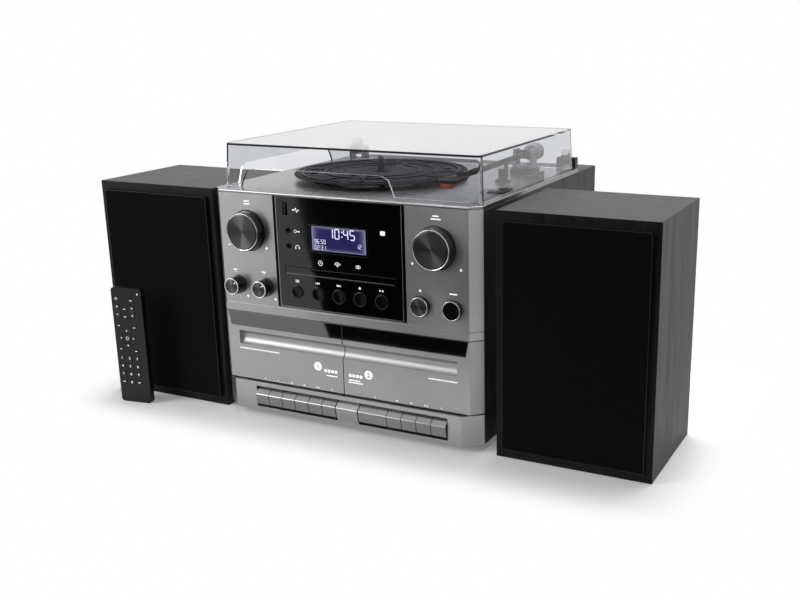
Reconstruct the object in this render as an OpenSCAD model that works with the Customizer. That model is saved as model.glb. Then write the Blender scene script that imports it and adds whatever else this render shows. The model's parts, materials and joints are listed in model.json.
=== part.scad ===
// Stereo music centre: main unit with record player, disc player, radio and two cassette decks,
// two separate speakers and a remote control. Millimetres, +Z up, the front faces -Y.

/* [Main unit] */
// Width of the main unit
body_w = 318; // [300:1:340]
// Depth of the main unit, from the front face to the rear panel
body_d = 337.6; // [330:1:360]
// Height of the front, from the floor to the top of the deck plate
body_h = 252.3; // [250:0.1:262]
// Height of the feet
foot_h = 7.2; // [5:0.1:12]
// Radius of a foot
foot_r = 12; // [8:0.5:15]
// Leg of the 45 degree chamfer at each front corner
front_chamfer = 10.7; // [6:0.1:14]
// Wall of the wooden cabinet
cabinet_wall = 8; // [6:0.5:12]
// Step from the deck plate's top down to the cabinet's top
cabinet_step = 4.6; // [4:0.1:8]
// Wall of the moulded front frame
front_wall = 3; // [2.5:0.1:3.5]
// Thickness of the deck plate
deck_t = 3; // [2:0.1:4]
// Depth of the deck plate, front to back
deck_d = 275; // [272:1:285]

/* [Centre panel] */
// Width of the glossy centre panel
panel_w = 151; // [148:0.5:153]
// Width of each dark groove beside the panel
groove_w = 3.2; // [2:0.1:4]
// Height of the split line between the upper front and the cassette part
split_z = 127.3; // [126:0.1:129]
// Width of the display window
display_w = 71; // [60:1:80]
// Height of the display window
display_h = 29; // [24:1:32]
// Height of the display's lower edge
display_z = 193; // [190:0.5:196]
// Width of the disc tray's front
tray_w = 133; // [130:0.5:136]
// Height of the disc tray's front
tray_h = 7.3; // [7:0.1:8]
// Height of the tray front's lower edge
tray_z = 167; // [165:0.5:169]
// How far the disc tray comes out
tray_travel = 122; // [110:1:126]
// Radius of a disc
disc_r = 60; // [60:0.1:60.2]
// Radius of a round panel button
button_r = 7.1; // [6:0.1:7.5]
// Spacing of the round panel buttons
button_pitch = 25.6; // [24:0.1:26]
// Height of the round panel buttons
button_z = 148; // [146:0.5:149]
// Travel of every push button
button_travel = 0.8; // [0.4:0.1:1.2]

/* [Sockets] */
// Bore radius of the two small jacks
jack_r = 1.8; // [1.75:0.01:1.85]
// Collar radius of the two small jacks
jack_collar_r = 3.5; // [3:0.1:4]
// Height of the upper jack
jack_high_z = 213.8; // [212:0.1:215]
// Height of the lower jack
jack_low_z = 197.2; // [196:0.1:199]
// Width of the USB slot
usb_w = 5.2; // [5:0.1:6]
// Height of the USB slot
usb_h = 13.4; // [13:0.1:14]

/* [Knobs and side buttons] */
// Distance of the two large knobs from the middle
knob_x = 112.5; // [108:0.5:116]
// Height of the two large knobs
knob_z = 209.5; // [205:0.5:213]
// Radius of the two large knobs
knob_r = 21; // [18:0.5:23]
// How far the two large knobs stand out
knob_out = 11; // [8:0.5:14]
// Inner distance of the small knobs and side buttons from the middle
small_in_x = 94.5; // [93:0.5:96]
// Outer distance of the small knobs and side buttons from the middle
small_out_x = 130.5; // [129:0.5:132]
// Height of the small knobs and side buttons
small_z = 148.8; // [146:0.1:151]
// Radius of the small knobs and side buttons
small_r = 10.3; // [9:0.1:11]
// How far the bass and treble knobs stand out
small_out = 12.5; // [10:0.5:14]
// How far the side buttons stand out
side_button_out = 5; // [3:0.5:7]

/* [Cassette decks] */
// Height of the cassette doors' lower edge
door_z = 41.2; // [41:0.1:43]
// Height of the cassette doors' upper edge
door_top_z = 117.9; // [116:0.1:118]
// Gap between the two doors
door_gap = 1; // [0.6:0.1:1.6]
// Height of the glossy window band of a door
window_h = 16.4; // [14:0.1:17]
// Lower edge of the concave grip channel
grip_z = 80.5; // [79:0.5:82]
// Height of the concave grip channel
grip_h = 15.5; // [13:0.5:16]
// Depth of the concave grip channel
grip_depth = 5; // [3:0.5:5]
// Half length of the grip channel from the middle of the unit
grip_half = 134; // [128:1:136]
// Length, height and thickness of a compact cassette with its clearance
cassette_w = 102; // [101.5:0.1:102.5]
// Height of the cassette pocket
cassette_h = 65; // [64.4:0.1:65.4]
// Depth of the cassette pocket
cassette_t = 13; // [12.8:0.1:13.2]
// Key panel: how far it stands out from the front
key_panel_out = 5; // [3:0.5:6]
// Key panel: its top edge
key_panel_top = 39.6; // [38.6:0.1:40.4]
// Half length of the key recess
recess_half = 125; // [122:0.5:127]
// Height of the keys' lower edge
key_z = 15.5; // [15:0.1:17]
// Height of the keys
key_h = 18.5; // [16:0.1:19]
// How far the keys stand out from the front
key_out = 9; // [8:0.5:11]
// Gap between two keys
key_gap = 0.8; // [0.6:0.1:1.2]
// Width of an ordinary key
key_pitch = 17.3; // [17:0.1:17.4]

/* [Record player] */
// Spindle's place, left of the middle
spindle_x = -24; // [-28:0.5:-20]
// Spindle's place, behind the front
spindle_y = 134; // [130:0.5:138]
// Radius of the spindle
spindle_r = 3.55; // [3.5:0.01:3.6]
// Radius of the platter
platter_r = 101; // [98:0.5:102]
// Thickness of the platter
platter_t = 5.4; // [5:0.1:6]
// Thickness of the platter mat
mat_t = 2.2; // [1.5:0.1:2.4]
// Height of the spindle above the mat
spindle_up = 16.5; // [14:0.5:17]
// Tonearm pivot, right of the middle
arm_x = 115; // [113:0.5:117]
// Tonearm pivot, behind the front
arm_y = 215; // [212:1:218]
// Length from the pivot to the stylus
arm_l = 177; // [175:1:179]
// Height of the arm tube's axis above the deck
arm_up = 22; // [20:0.5:24]

/* [Lid] */
// Width of the lid at its foot
lid_w = 308; // [304:1:310]
// Front edge of the lid, behind the front
lid_y = 18.4; // [16:0.5:20]
// Depth of the lid at its foot
lid_d = 255.6; // [250:0.1:256]
// Height of the lid
lid_h = 46; // [44:0.5:50]
// Wall of the lid
lid_wall = 2.5; // [2:0.1:3]
// Draft of each lid wall, foot to top
lid_draft = 2.2; // [1:0.1:3]

/* [Speakers] */
// Width of a speaker
speaker_w = 160; // [150:1:170]
// Height of a speaker
speaker_h = 250.7; // [240:0.1:260]
// Depth of a speaker
speaker_d = 134.6; // [130:0.1:145]
// Wall of a speaker cabinet
speaker_wall = 9; // [7:0.5:12]
// Gap from the main unit to the left speaker
left_gap = 3; // [2:0.5:6]
// Gap from the main unit to the right speaker
right_gap = 15; // [10:0.5:20]
// Front face of the speakers' cabinets, behind the main front
speaker_y = 6; // [4:0.5:8]
// Thickness of a grille in front of its cabinet
grille_t = 4; // [3:0.5:6]
// Edge left free beside a grille
grille_side = 7.5; // [6:0.5:9]
// Edge left free above a grille
grille_top = 9.5; // [8:0.5:11]
// Edge left free below a grille
grille_low = 10; // [8:0.5:12]

/* [Remote control] */
// Width of the remote control
remote_w = 39.5; // [38:0.1:42]
// Length of the remote control
remote_h = 137; // [134:1:140]
// Thickness of the remote control
remote_t = 7; // [6.8:0.1:8]
// Lower left front corner of the remote, left of the middle
remote_x = -286.5; // [-290:0.5:-280]
// Lower left front corner of the remote, in front of the front face
remote_y = -33; // [-36:0.5:-30]
// Turn of the remote about the vertical
remote_yaw = 8.5; // [5:0.1:12]

/* [Hidden] */
$fn = 48;
// Clearances
run_gap = 0.05;
seat_gap = 0.2;
slide_gap = 0.35;
eps = 0.01;
// Front
half_w = body_w / 2;
fascia_top = body_h - deck_t;
cabinet_top = body_h - cabinet_step;
side_y = front_chamfer + 1.3;
inner_w = half_w - cabinet_wall - 1;
strip_low = door_top_z + 1;
strip_out = 0.6;
line_cut = 0.8;
panel_low = split_z + 2.5;
panel_side = panel_w / 2;
panel_t = 4;
panel_flange = 4;
flange_t = 2;
slot_gap = 0.6;
// Cassette part
wall_y = grip_depth + 2.2;
pocket_y = wall_y;
holder_y = pocket_y + cassette_t;
well_y = holder_y + 1.8;
well_t = 2;
door_side = half_w;
door_pin_y = 4.5;
door_pin_z = door_z + 3.8;
door_pin_r = 1.5;
pin_len = 4;
bracket_t = 3;
bracket_x = half_w - 16;
bracket_top = door_pin_z + 2.5;
ear_in = bracket_t / 2 + pin_len / 2 + 0.3;
ear_out = bracket_x - ear_in;
pocket_x = 75;
pocket_z = door_z + 9;
holder_wall = 2;
hub_pitch = 42.5;
hub_r = 4.2;
hub_up = 32;
// Keys
key_pin_y = 22;
key_pin_z = key_z + 8.5;
key_pin_r = 1.5;
left_keys_x = -111;
right_keys_x = 20.7;
recess_low = key_z - 4;
recess_high = key_z + key_h + 1.6;
key_fold = key_z + 11.6;
key_tuck = 2.2;
key_back = 7;
filler_x = left_keys_x + 6 * key_pitch + key_gap;
filler_w = right_keys_x - key_gap - filler_x;
jack_x = -60.8;
usb_x = -63.2;
usb_z = fascia_top - 12.9;
socket_l = 14;
lower_inset = 1.5;
flange_y = 5.5;
swing_in = 0.8;
ear_t = 3.6;
ear_r = 3;
holder_h = 50;
window_t = 1.2;
window_side = 15;
window_side_top = 11.8;
grip_r = (grip_h * grip_h / 4 + grip_depth * grip_depth) / (2 * grip_depth);
grip_cy = grip_depth - grip_r;
drive_cy = 78;
board_x = [-120, 60];
board_y = [140, body_d - 37.6];
hub_tip_y = pocket_y + cassette_t - 3.5;
// Record player
platter_gap = 0.8;
platter_low = body_h + platter_gap;
mat_low = platter_low + platter_t;
mat_top = mat_low + mat_t;
boss_r = 8;
well_r = 80;
well_depth = 9;
belt_r = 59;
belt_t = 0.8;
belt_gap = 0.3;
pulley_r = 6;
motor_off = 68;
arm_z = body_h + arm_up;
arm_turn = -1.8;
gimbal_pin_r = 1.5;
post_r = 4;
base_h = 7;
tip_drop = 12;
// Lid and hinges
lid_z = body_h + 0.3;
lid_back = lid_y + lid_d;
// Controls beside the arm stand clear of the lid's inner wall
switch_x = lid_w / 2 - 16;
switch_y = 105;
lever_x = lid_w / 2 - 13.8;
lever_y = 195;
lever_pin_r = 1.2;
weight_end = 34;
hinge_y = lid_back + 7;
hinge_z = lid_z + 7;
hinge_pin_r = 2;
hinge_x = lid_w / 2 - 11.5;
hinge_half = 12.5;
// Rear
rear_t = 3;
rear_out = 8;
line_out_x = [-110, -92];
line_out_z = 60;
line_out_r = 4.15;
terminal_x = [-50, -12];
terminal_z = 60;
mains_x = 110;
mains_z = 40;
// Speakers and remote control
woofer_r = 48;
woofer_z = 90;
tweeter_r = 18;
tweeter_z = 190;
tray_cell_w = 25;
tray_cell_l = 27;
keypad_x = 16;
keypad_w = 28;
keypad_h = 108;
keypad_cz = 74;
// Set
left_edge = -(half_w + left_gap + speaker_w);
right_edge = half_w + right_gap + speaker_w;
shift_x = -(left_edge + right_edge) / 2;
shift_y = -(remote_y + body_d + rear_out) / 2;

// Moves a piece from the main unit's own frame into the frame of the whole set
module in_set() { translate([shift_x, shift_y, 0]) children(); }

// Box from a low corner to a high corner
module span(a, b) { translate(a) cube(b - a); }

// Cylinder along X, from x0 to x1
module rod_x(x0, x1, y, z, r) {
    translate([x0, y, z]) rotate([0, 90, 0]) cylinder(h = x1 - x0, r = r);
}

// Cylinder along Y, from y0 to y1
module rod_y(y0, y1, x, z, r) {
    translate([x, y0, z]) rotate([-90, 0, 0]) cylinder(h = y1 - y0, r = r);
}

// Cylinder along Z, from z0 to z1
module rod_z(z0, z1, x, y, r) {
    translate([x, y, z0]) cylinder(h = z1 - z0, r = r);
}

// Flat rectangle with round corners, centred
module round_rect(w, h, r) {
    square([w - 2 * r, h], center = true);
    square([w, h - 2 * r], center = true);
    for (x = [-1, 1], y = [-1, 1]) translate([x * (w / 2 - r), y * (h / 2 - r)]) circle(r);
}

// Plate with round corners that faces -Y, from y0 to y1, centred on x and z
module face_plate(w, h, r, y0, y1, x, z) {
    translate([x, y1, z]) rotate([90, 0, 0]) linear_extrude(y1 - y0) round_rect(w, h, r);
}

// Plan of the front: flat face, chamfered corners, straight sides back to y
module front_plan(inset, y) {
    k = inset * tan(22.5);
    polygon([
        [-half_w + inset, y],
        [-half_w + inset, front_chamfer + k],
        [-half_w + front_chamfer + k, inset],
        [half_w - front_chamfer - k, inset],
        [half_w - inset, front_chamfer + k],
        [half_w - inset, y]
    ]);
}

// Wall that follows the front's plan between two heights
module front_wall_band(z0, z1, inset, t, y) {
    translate([0, 0, z0]) linear_extrude(z1 - z0) difference() {
        front_plan(inset, y);
        front_plan(inset + t, y + 1);
    }
}

// Wood-grain cabinet: two sides, floor and rear top
module cabinet() {
    color([0.13, 0.13, 0.13]) in_set() difference() {
        span([-half_w, side_y + seat_gap, foot_h], [half_w, body_d, cabinet_top]);
        span([-half_w + cabinet_wall, 0, foot_h + cabinet_wall],
            [half_w - cabinet_wall, body_d + 1, cabinet_top - cabinet_wall]);
        span([-half_w + cabinet_wall, 0, cabinet_top - cabinet_wall - 1],
            [half_w - cabinet_wall, deck_d, cabinet_top + 1]);
    }
}

// Silver deck plate with the well for the platter's drive and a rim that rests on the cabinet
module deck_plate() {
    color([0.72, 0.73, 0.75]) in_set() difference() {
        union() {
            translate([0, 0, fascia_top]) linear_extrude(deck_t) front_plan(0, deck_d);
            span([-half_w, side_y + seat_gap, cabinet_top], [-half_w + cabinet_wall, deck_d, fascia_top]);
            span([half_w - cabinet_wall, side_y + seat_gap, cabinet_top], [half_w, deck_d, fascia_top]);
            rod_z(body_h - well_depth - deck_t, body_h, spindle_x, spindle_y, well_r + deck_t);
        }
        rod_z(body_h - well_depth, body_h + 1, spindle_x, spindle_y, well_r);
        rod_z(body_h - 30, body_h, spindle_x, spindle_y, 9);
        rod_z(body_h - 30, body_h, spindle_x - motor_off, spindle_y, 8);
        rod_z(body_h - 30, body_h + 1, arm_x, arm_y, 6);
        translate([0, 0, body_h]) rotate([45, 0, 0]) cube([body_w + 2, 1.2, 1.2], center = true);
    }
}

// Moulded front frame: upper front, strip, recessed wall behind the doors and lower front
module front_frame() {
    color([0.50, 0.51, 0.53]) in_set() difference() {
        union() {
            front_wall_band(strip_low, fascia_top, 0, front_wall, side_y);
            translate([0, -strip_out, 0])
                front_wall_band(strip_low, split_z, 0, front_wall + strip_out, side_y);
            front_wall_band(foot_h, door_z - 2.3, lower_inset, front_wall, side_y);
            span([-half_w + cabinet_wall + 4, front_wall, foot_h],
                [half_w - cabinet_wall - 4, side_y, foot_h + 2]);
            // Side flanges that lie inside the cabinet
            for (s = [-1, 1]) {
                translate([s * (half_w - cabinet_wall - seat_gap - 1.5), 0, 0]) {
                    span([-1.5, flange_y, strip_low], [1.5, well_y + well_t, fascia_top - 8]);
                    span([-1.5, well_y - 4, foot_h + cabinet_wall + 1],
                        [1.5, well_y + well_t, strip_low + 1]);
                    span([-1.5, flange_y, foot_h + cabinet_wall + 1], [1.5, well_y, door_z - 2.3]);
                }
            }
            // Recessed wall and its two shelves
            span([-inner_w, well_y, door_z - 4], [inner_w, well_y + well_t, strip_low + 3]);
            span([-inner_w, front_wall - 1, strip_low], [inner_w, well_y + 1, strip_low + 2]);
            span([-inner_w, front_wall, door_z - 4.3], [inner_w, well_y + 1, door_z - 2.3]);
            // Brackets and pins that carry the doors
            for (x = [-bracket_x, 0, bracket_x]) {
                span([x - bracket_t / 2, door_pin_y - swing_in, door_z - 3],
                    [x + bracket_t / 2, well_y + 1, bracket_top]);
            }
            rod_x(-bracket_t / 2 - pin_len, bracket_t / 2 + pin_len, door_pin_y, door_pin_z, door_pin_r);
            rod_x(bracket_x - bracket_t / 2 - pin_len, bracket_x, door_pin_y, door_pin_z, door_pin_r);
            rod_x(-bracket_x, -bracket_x + bracket_t / 2 + pin_len, door_pin_y, door_pin_z, door_pin_r);
        }
        // Opening for the centre panel and its grooves
        span([-panel_side - groove_w, -2, panel_low - slot_gap],
            [panel_side + groove_w, front_wall + 1, fascia_top + 1]);
        // Room for the doors' lower edge as it swings in
        span([-inner_w, front_wall + 0.1, door_z - 2.3],
            [inner_w, door_pin_y + swing_in, door_pin_z - door_pin_r]);
        // Split line under the upper front
        difference() {
            translate([0, 0, split_z]) linear_extrude(line_cut) front_plan(-2, side_y + 2);
            translate([0, 0, split_z - 1]) linear_extrude(line_cut + 2) front_plan(line_cut, side_y + 3);
        }
        // Knob shafts and side buttons
        for (s = [-1, 1]) rod_y(-1, front_wall + 1, s * knob_x, knob_z, 4);
        for (x = [-small_in_x, -small_out_x]) rod_y(-1, front_wall + 1, x, small_z, 4);
        for (x = [small_in_x, small_out_x]) rod_y(-1, front_wall + 1, x, small_z, small_r + slide_gap);
        // Keys
        span([-recess_half, -1, recess_low], [recess_half, lower_inset + front_wall + 1, recess_high]);
        // Head openings of the two decks
        for (s = [-1, 1]) translate([s * pocket_x, well_y - 1, pocket_z + 2])
            span([-46, 0, 0], [46, well_t + 2, 56]);
    }
}

// Glossy centre panel with its carrier flange behind the frame
module centre_panel() {
    color([0.03, 0.03, 0.035]) in_set() difference() {
        union() {
            span([-panel_side, 0, panel_low], [panel_side, panel_t, fascia_top - seat_gap]);
            span([-panel_side - groove_w - panel_flange, front_wall, panel_low - 1],
                [panel_side + groove_w + panel_flange, front_wall + flange_t, fascia_top - seat_gap]);
        }
        span([-display_w / 2, -1, display_z], [display_w / 2, 9, display_z + display_h]);
        span([-tray_w / 2 - slot_gap, -1, tray_z - slot_gap],
            [tray_w / 2 + slot_gap, 9, tray_z + tray_h + slot_gap]);
        for (i = [-2:2]) rod_y(-1, 9, i * button_pitch - 1.5, button_z, button_r + slide_gap);
        for (z = [jack_high_z, jack_low_z]) rod_y(-1, 9, jack_x, z, jack_collar_r + run_gap);
        translate([usb_x, 0, usb_z])
            span([-usb_w / 2 - 0.8, -1, -usb_h / 2 - 0.8], [usb_w / 2 + 0.8, 9, usb_h / 2 + 0.8]);
    }
}

// Display glass, its frame and its board
module display_module() {
    color([0.10, 0.10, 0.30]) in_set() {
        span([-display_w / 2 + seat_gap, 0.5, display_z + seat_gap],
            [display_w / 2 - seat_gap, 9, display_z + display_h - seat_gap]);
        span([-display_w / 2 - 4, 9, display_z - 5], [display_w / 2 + 4, 10.6, display_z + display_h + 5]);
    }
}

// USB socket, two small jacks and the board that carries them
module front_sockets() {
    color([0.62, 0.63, 0.66]) in_set() {
        translate([usb_x, 0, usb_z]) difference() {
            span([-usb_w / 2 - 0.6, 0.3, -usb_h / 2 - 0.6], [usb_w / 2 + 0.6, socket_l, usb_h / 2 + 0.6]);
            span([-usb_w / 2, 0, -usb_h / 2], [usb_w / 2, socket_l - 1, usb_h / 2]);
        }
        for (z = [jack_high_z, jack_low_z]) difference() {
            union() {
                rod_y(0.3, 6, jack_x, z, jack_collar_r);
                span([jack_x - 4, 6, z - 4], [jack_x + 4, socket_l, z + 4]);
            }
            rod_y(0, socket_l - 1, jack_x, z, jack_r);
        }
        span([jack_x - 8, socket_l, jack_low_z - 8], [jack_x + 8, socket_l + 1.6, usb_z + 10]);
    }
}

// Front line of a key from its lower edge to its top, as depth and height: the upright part leans
// back a little below the fold, and the upper part slopes back to the panel
key_front = [
    [key_tuck - key_out, key_z], [-key_out, key_fold], [0.6 - key_out, key_fold + 1.2],
    [-1, key_z + key_h]
];

// Outline in depth and height, carried along X from x0 over width w
module along_x(x0, w) {
    translate([x0, 0, 0]) rotate([90, 0, 90]) linear_extrude(w) children();
}

// Key panel: proud lower front with wide chamfers, a recess, and a filler shaped like the keys
// between the two key groups
module key_panel() {
    color([0.52, 0.53, 0.55]) in_set() {
        difference() {
            translate([0, 0, foot_h]) linear_extrude(key_panel_top - foot_h) difference() {
                polygon([
                    [-half_w, side_y], [-half_w, front_chamfer], [-half_w + 19, -key_panel_out],
                    [half_w - 19, -key_panel_out], [half_w, front_chamfer], [half_w, side_y]
                ]);
                front_plan(lower_inset, side_y + 1);
            }
            span([-recess_half, -key_panel_out - 1, recess_low],
                [recess_half, lower_inset + 1, recess_high]);
        }
        along_x(filler_x, filler_w) polygon(concat([[-key_panel_out, recess_low]], key_front, [
            [-1, recess_high], [lower_inset, recess_high], [lower_inset, recess_low]
        ]));
        span([-recess_half, -key_panel_out, recess_low],
            [left_keys_x - key_gap, lower_inset, recess_high]);
    }
}

// Four rubber feet under the cabinet
module feet() {
    color([0.05, 0.05, 0.05]) in_set() {
        for (s = [-1, 1], y = [40, body_d - 35]) rod_z(0, foot_h, s * (half_w - 32), y, foot_r);
    }
}

// Rear panel with holes for the sockets and slots for air
module rear_panel() {
    color([0.08, 0.08, 0.08]) in_set() difference() {
        span([-half_w + cabinet_wall + seat_gap, body_d - rear_t, foot_h + cabinet_wall],
            [half_w - cabinet_wall - seat_gap, body_d, cabinet_top - cabinet_wall]);
        for (x = line_out_x) {
            span([x - 7.2, body_d - 4, line_out_z - 7.2], [x + 7.2, body_d + 1, line_out_z + 7.2]);
        }
        for (x = terminal_x) {
            span([x - 14, body_d - 4, terminal_z - 6], [x + 14, body_d + 1, terminal_z + 6]);
        }
        span([mains_x - 10.5, body_d - 4, mains_z - 6.5], [mains_x + 10.5, body_d + 1, mains_z + 6.5]);
        for (i = [0:8]) span([40 + i * 9, body_d - 4, 150], [44 + i * 9, body_d + 1, 200]);
    }
}

// Line-out sockets, speaker terminals and mains inlet behind the rear panel
module rear_sockets() {
    color([0.75, 0.72, 0.60]) in_set() {
        for (x = line_out_x) difference() {
            union() {
                rod_y(body_d - 8, body_d + rear_out, x, line_out_z, line_out_r);
                span([x - 7, body_d - 14, line_out_z - 7], [x + 7, body_d + 0.5, line_out_z + 7]);
            }
            rod_y(body_d - 6, body_d + rear_out + 1, x, line_out_z, 1.6);
        }
        for (x = terminal_x) difference() {
            span([x - 13.6, body_d - 14, terminal_z - 5.6], [x + 13.6, body_d + 1, terminal_z + 5.6]);
            for (s = [-1, 1]) rod_y(body_d - 10, body_d + 2, x + s * 6.5, terminal_z, 3.2);
        }
        difference() {
            span([mains_x - 10.2, body_d - 18, mains_z - 6.2],
                [mains_x + 10.2, body_d + 0.5, mains_z + 6.2]);
            span([mains_x - 8, body_d - 14, mains_z - 4], [mains_x + 8, body_d + 1, mains_z + 4]);
        }
        for (s = [-1, 1]) rod_y(body_d - 15, body_d - 3, mains_x + s * 4.3, mains_z, 1.2);
    }
}

// Main circuit board on the cabinet floor with transformer, chips, capacitors and heat sink
module main_board() {
    color([0.10, 0.32, 0.16]) in_set() {
        floor_z = foot_h + cabinet_wall;
        board_z = floor_z + 6;
        // Board on four posts
        span([board_x[0], board_y[0], board_z], [board_x[1], board_y[1], board_z + 1.6]);
        for (x = [board_x[0] + 6, board_x[1] - 6], y = [board_y[0] + 6, board_y[1] - 6]) {
            rod_z(floor_z, board_z, x, y, 3);
        }
        // Transformer, heat sink, capacitors and chips
        span([75, 225, floor_z], [125, 285, floor_z + 45]);
        span([-60, 270, board_z + 1.6], [20, 280, board_z + 40]);
        for (i = [0:3]) rod_z(board_z + 1.6, board_z + 22, -100 + i * 18, 250, 6);
        for (x = [-90, -40, 10]) span([x, 170, board_z + 1.6], [x + 24, 194, board_z + 4]);
    }
}

// CD drive: case over the tray, its spindle motor, pickup and gear
module cd_drive() {
    color([0.35, 0.36, 0.38]) in_set() {
        drive_w = tray_w + 9;
        low = tray_z - 14;
        high = tray_z + tray_h + 5;
        difference() {
            span([-drive_w / 2, 12, low], [drive_w / 2, 160, high]);
            span([-drive_w / 2 + 3, 11, low + 2], [drive_w / 2 - 3, 158, high - 2]);
        }
        rod_z(low + 2, tray_z - 2, 0, drive_cy, 14);
        span([-14, drive_cy + 20, low + 2], [14, drive_cy + 34, tray_z - 3]);
        rod_z(low + 2, tray_z - 3, 45, 30, 7);
        // Legs that carry the drive on the cabinet floor
        for (s = [-1, 1], y = [64, 128]) {
            translate([s * (drive_w / 2 - 6), y, 0]) span([-4, 0, foot_h + cabinet_wall], [4, 8, low]);
        }
    }
}

// Two tape mechanisms: chassis, hubs, heads, pinch rollers, flywheels, motor and the keys' pivot rod
module tape_mechanism() {
    color([0.45, 0.45, 0.42]) in_set() {
        back_y = well_y + well_t;
        for (s = [-1, 1]) translate([s * pocket_x, 0, 0]) {
            difference() {
                span([-44, back_y, pocket_z], [44, back_y + 2, pocket_z + 60]);
                for (h = [-1, 1]) {
                    rod_y(back_y - 1, back_y + 3, h * hub_pitch / 2, pocket_z + hub_up, hub_r - 1);
                }
            }
            for (h = [-1, 1]) {
                rod_y(hub_tip_y, back_y + 9, h * hub_pitch / 2, pocket_z + hub_up, hub_r - 1 - run_gap);
                for (a = [0, 60, 120])
                    translate([h * hub_pitch / 2, 0, pocket_z + hub_up]) rotate([0, a, 0])
                    span([-hub_r, hub_tip_y + 2, -0.7], [hub_r, back_y - 0.5, 0.7]);
            }
            span([-7, back_y - 4, pocket_z + 6], [7, back_y, pocket_z + 16]);
            rod_y(back_y - 6, back_y, 16, pocket_z + 11, 5);
            rod_y(back_y + 2, back_y + 8, 22, pocket_z + 12, 14);
        }
        rod_y(back_y + 4, back_y + 30, 0, pocket_z + 40, 16);
        span([-36, back_y + 2, pocket_z + 30], [36, back_y + 4, pocket_z + 50]);
        // Pivot rod of the keys and the posts that hold it
        rod_x(left_keys_x - 5, right_keys_x + 6 * key_pitch + 5, key_pin_y, key_pin_z, key_pin_r);
        mid_x = (left_keys_x + 6 * key_pitch + right_keys_x) / 2;
        for (x = [left_keys_x - 5, mid_x, right_keys_x + 6 * key_pitch + 2]) {
            span([x, key_pin_y - 3, foot_h + cabinet_wall], [x + 3, key_pin_y + 3, key_pin_z + 3]);
        }
    }
}

// Platter motor, pulley, belt and the spindle's bearing
module platter_motor() {
    color([0.55, 0.56, 0.58]) in_set() {
        belt_low = body_h - 5;
        motor_x = spindle_x - motor_off;
        under = body_h - well_depth - deck_t;
        rod_z(under - 26, under, motor_x, spindle_y, 14);
        rod_z(under, body_h - 1, motor_x, spindle_y, 2);
        rod_z(belt_low - 1, body_h - 1, motor_x, spindle_y, pulley_r);
        translate([0, 0, belt_low]) linear_extrude(3) difference() {
            hull() {
                translate([spindle_x, spindle_y]) circle(belt_r + belt_gap + belt_t);
                translate([motor_x, spindle_y]) circle(pulley_r + belt_gap + belt_t);
            }
            hull() {
                translate([spindle_x, spindle_y]) circle(belt_r + belt_gap);
                translate([motor_x, spindle_y]) circle(pulley_r + belt_gap);
            }
        }
        difference() {
            union() {
                rod_z(under - 22, under, spindle_x, spindle_y, 8);
                rod_z(under - 3, under, spindle_x, spindle_y, 16);
            }
            rod_z(under - 20, under + 1, spindle_x, spindle_y, spindle_r + run_gap);
        }
    }
}

// Tonearm base with the arm rest and the dark plate round the speed switch
module tonearm_base() {
    color([0.10, 0.10, 0.11]) in_set() {
        difference() {
            union() {
                rod_z(body_h, body_h + base_h, arm_x, arm_y, 17);
                rod_z(body_h - 14, body_h, arm_x, arm_y, 5.8);
            }
            rod_z(body_h - 12, body_h + base_h + 1, arm_x, arm_y, post_r + run_gap);
        }
        // Arm rest: post with one horn on the outer side
        rest_y = arm_y - 65;
        span([arm_x - 6, rest_y - 4, body_h], [arm_x + 9, rest_y + 4, body_h + 3]);
        span([arm_x - 3, rest_y - 2.5, body_h], [arm_x + 7, rest_y + 2.5, arm_z - 7.5]);
        span([arm_x + 4, rest_y - 2.5, arm_z - 8], [arm_x + 7, rest_y + 2.5, arm_z]);
        difference() {
            span([switch_x - 9, 81, body_h], [switch_x + 8.5, 129, body_h + 1]);
            span([switch_x - 2.2, switch_y - 9, body_h - 1], [switch_x + 2.2, switch_y + 9, body_h + 2]);
        }
        // Ears of the cue lever
        for (s = [-1, 1]) translate([lever_x + s * 4.2, lever_y, body_h]) span([-1, -4, 0], [1, 4, 7]);
        rod_x(lever_x - 5.2, lever_x + 5.2, lever_y, body_h + 4, lever_pin_r);
    }
}

// Two hinge brackets with their pins behind the lid
module lid_hinges() {
    color([0.06, 0.06, 0.06]) in_set() {
        for (s = [-1, 1]) translate([s * hinge_x, 0, 0]) {
            for (e = [-1, 1]) {
                translate([e * (hinge_half - 3), hinge_y, 0])
                    span([-3, -4.5, cabinet_top], [3, 4.5, hinge_z + 4.5]);
            }
            span([-hinge_half, hinge_y - 4.5, cabinet_top], [hinge_half, hinge_y + 4.5, cabinet_top + 4]);
            rod_x(-hinge_half + 1, hinge_half - 1, hinge_y, hinge_z, hinge_pin_r);
        }
    }
}

// Screws of the rear panel
module cabinet_screws() {
    color([0.15, 0.15, 0.15]) in_set() {
        for (x = [-half_w + 18, 0, half_w - 18], z = [foot_h + 18, cabinet_top - 18]) {
            rod_y(body_d, body_d + 1.6, x, z, 3.2);
        }
    }
}

// Puts a child drawn at a speaker's left lower front corner at both speakers
module both_speakers() {
    for (x = [left_edge, half_w + right_gap]) translate([x, speaker_y, 0]) children();
}

// Two hollow speaker cabinets with openings for their drivers and terminals
module speaker_cabinets() {
    color([0.12, 0.12, 0.12]) in_set() both_speakers() difference() {
        cube([speaker_w, speaker_d, speaker_h]);
        translate([speaker_wall, speaker_wall, speaker_wall])
            cube([speaker_w - 2 * speaker_wall, speaker_d - 2 * speaker_wall,
                speaker_h - 2 * speaker_wall]);
        rod_y(-1, speaker_wall + 1, speaker_w / 2, woofer_z, woofer_r);
        rod_y(-1, speaker_wall + 1, speaker_w / 2, tweeter_z, tweeter_r);
        rod_y(speaker_d - speaker_wall - 1, speaker_d + 1, speaker_w / 2, 60, 20);
    }
}

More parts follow.
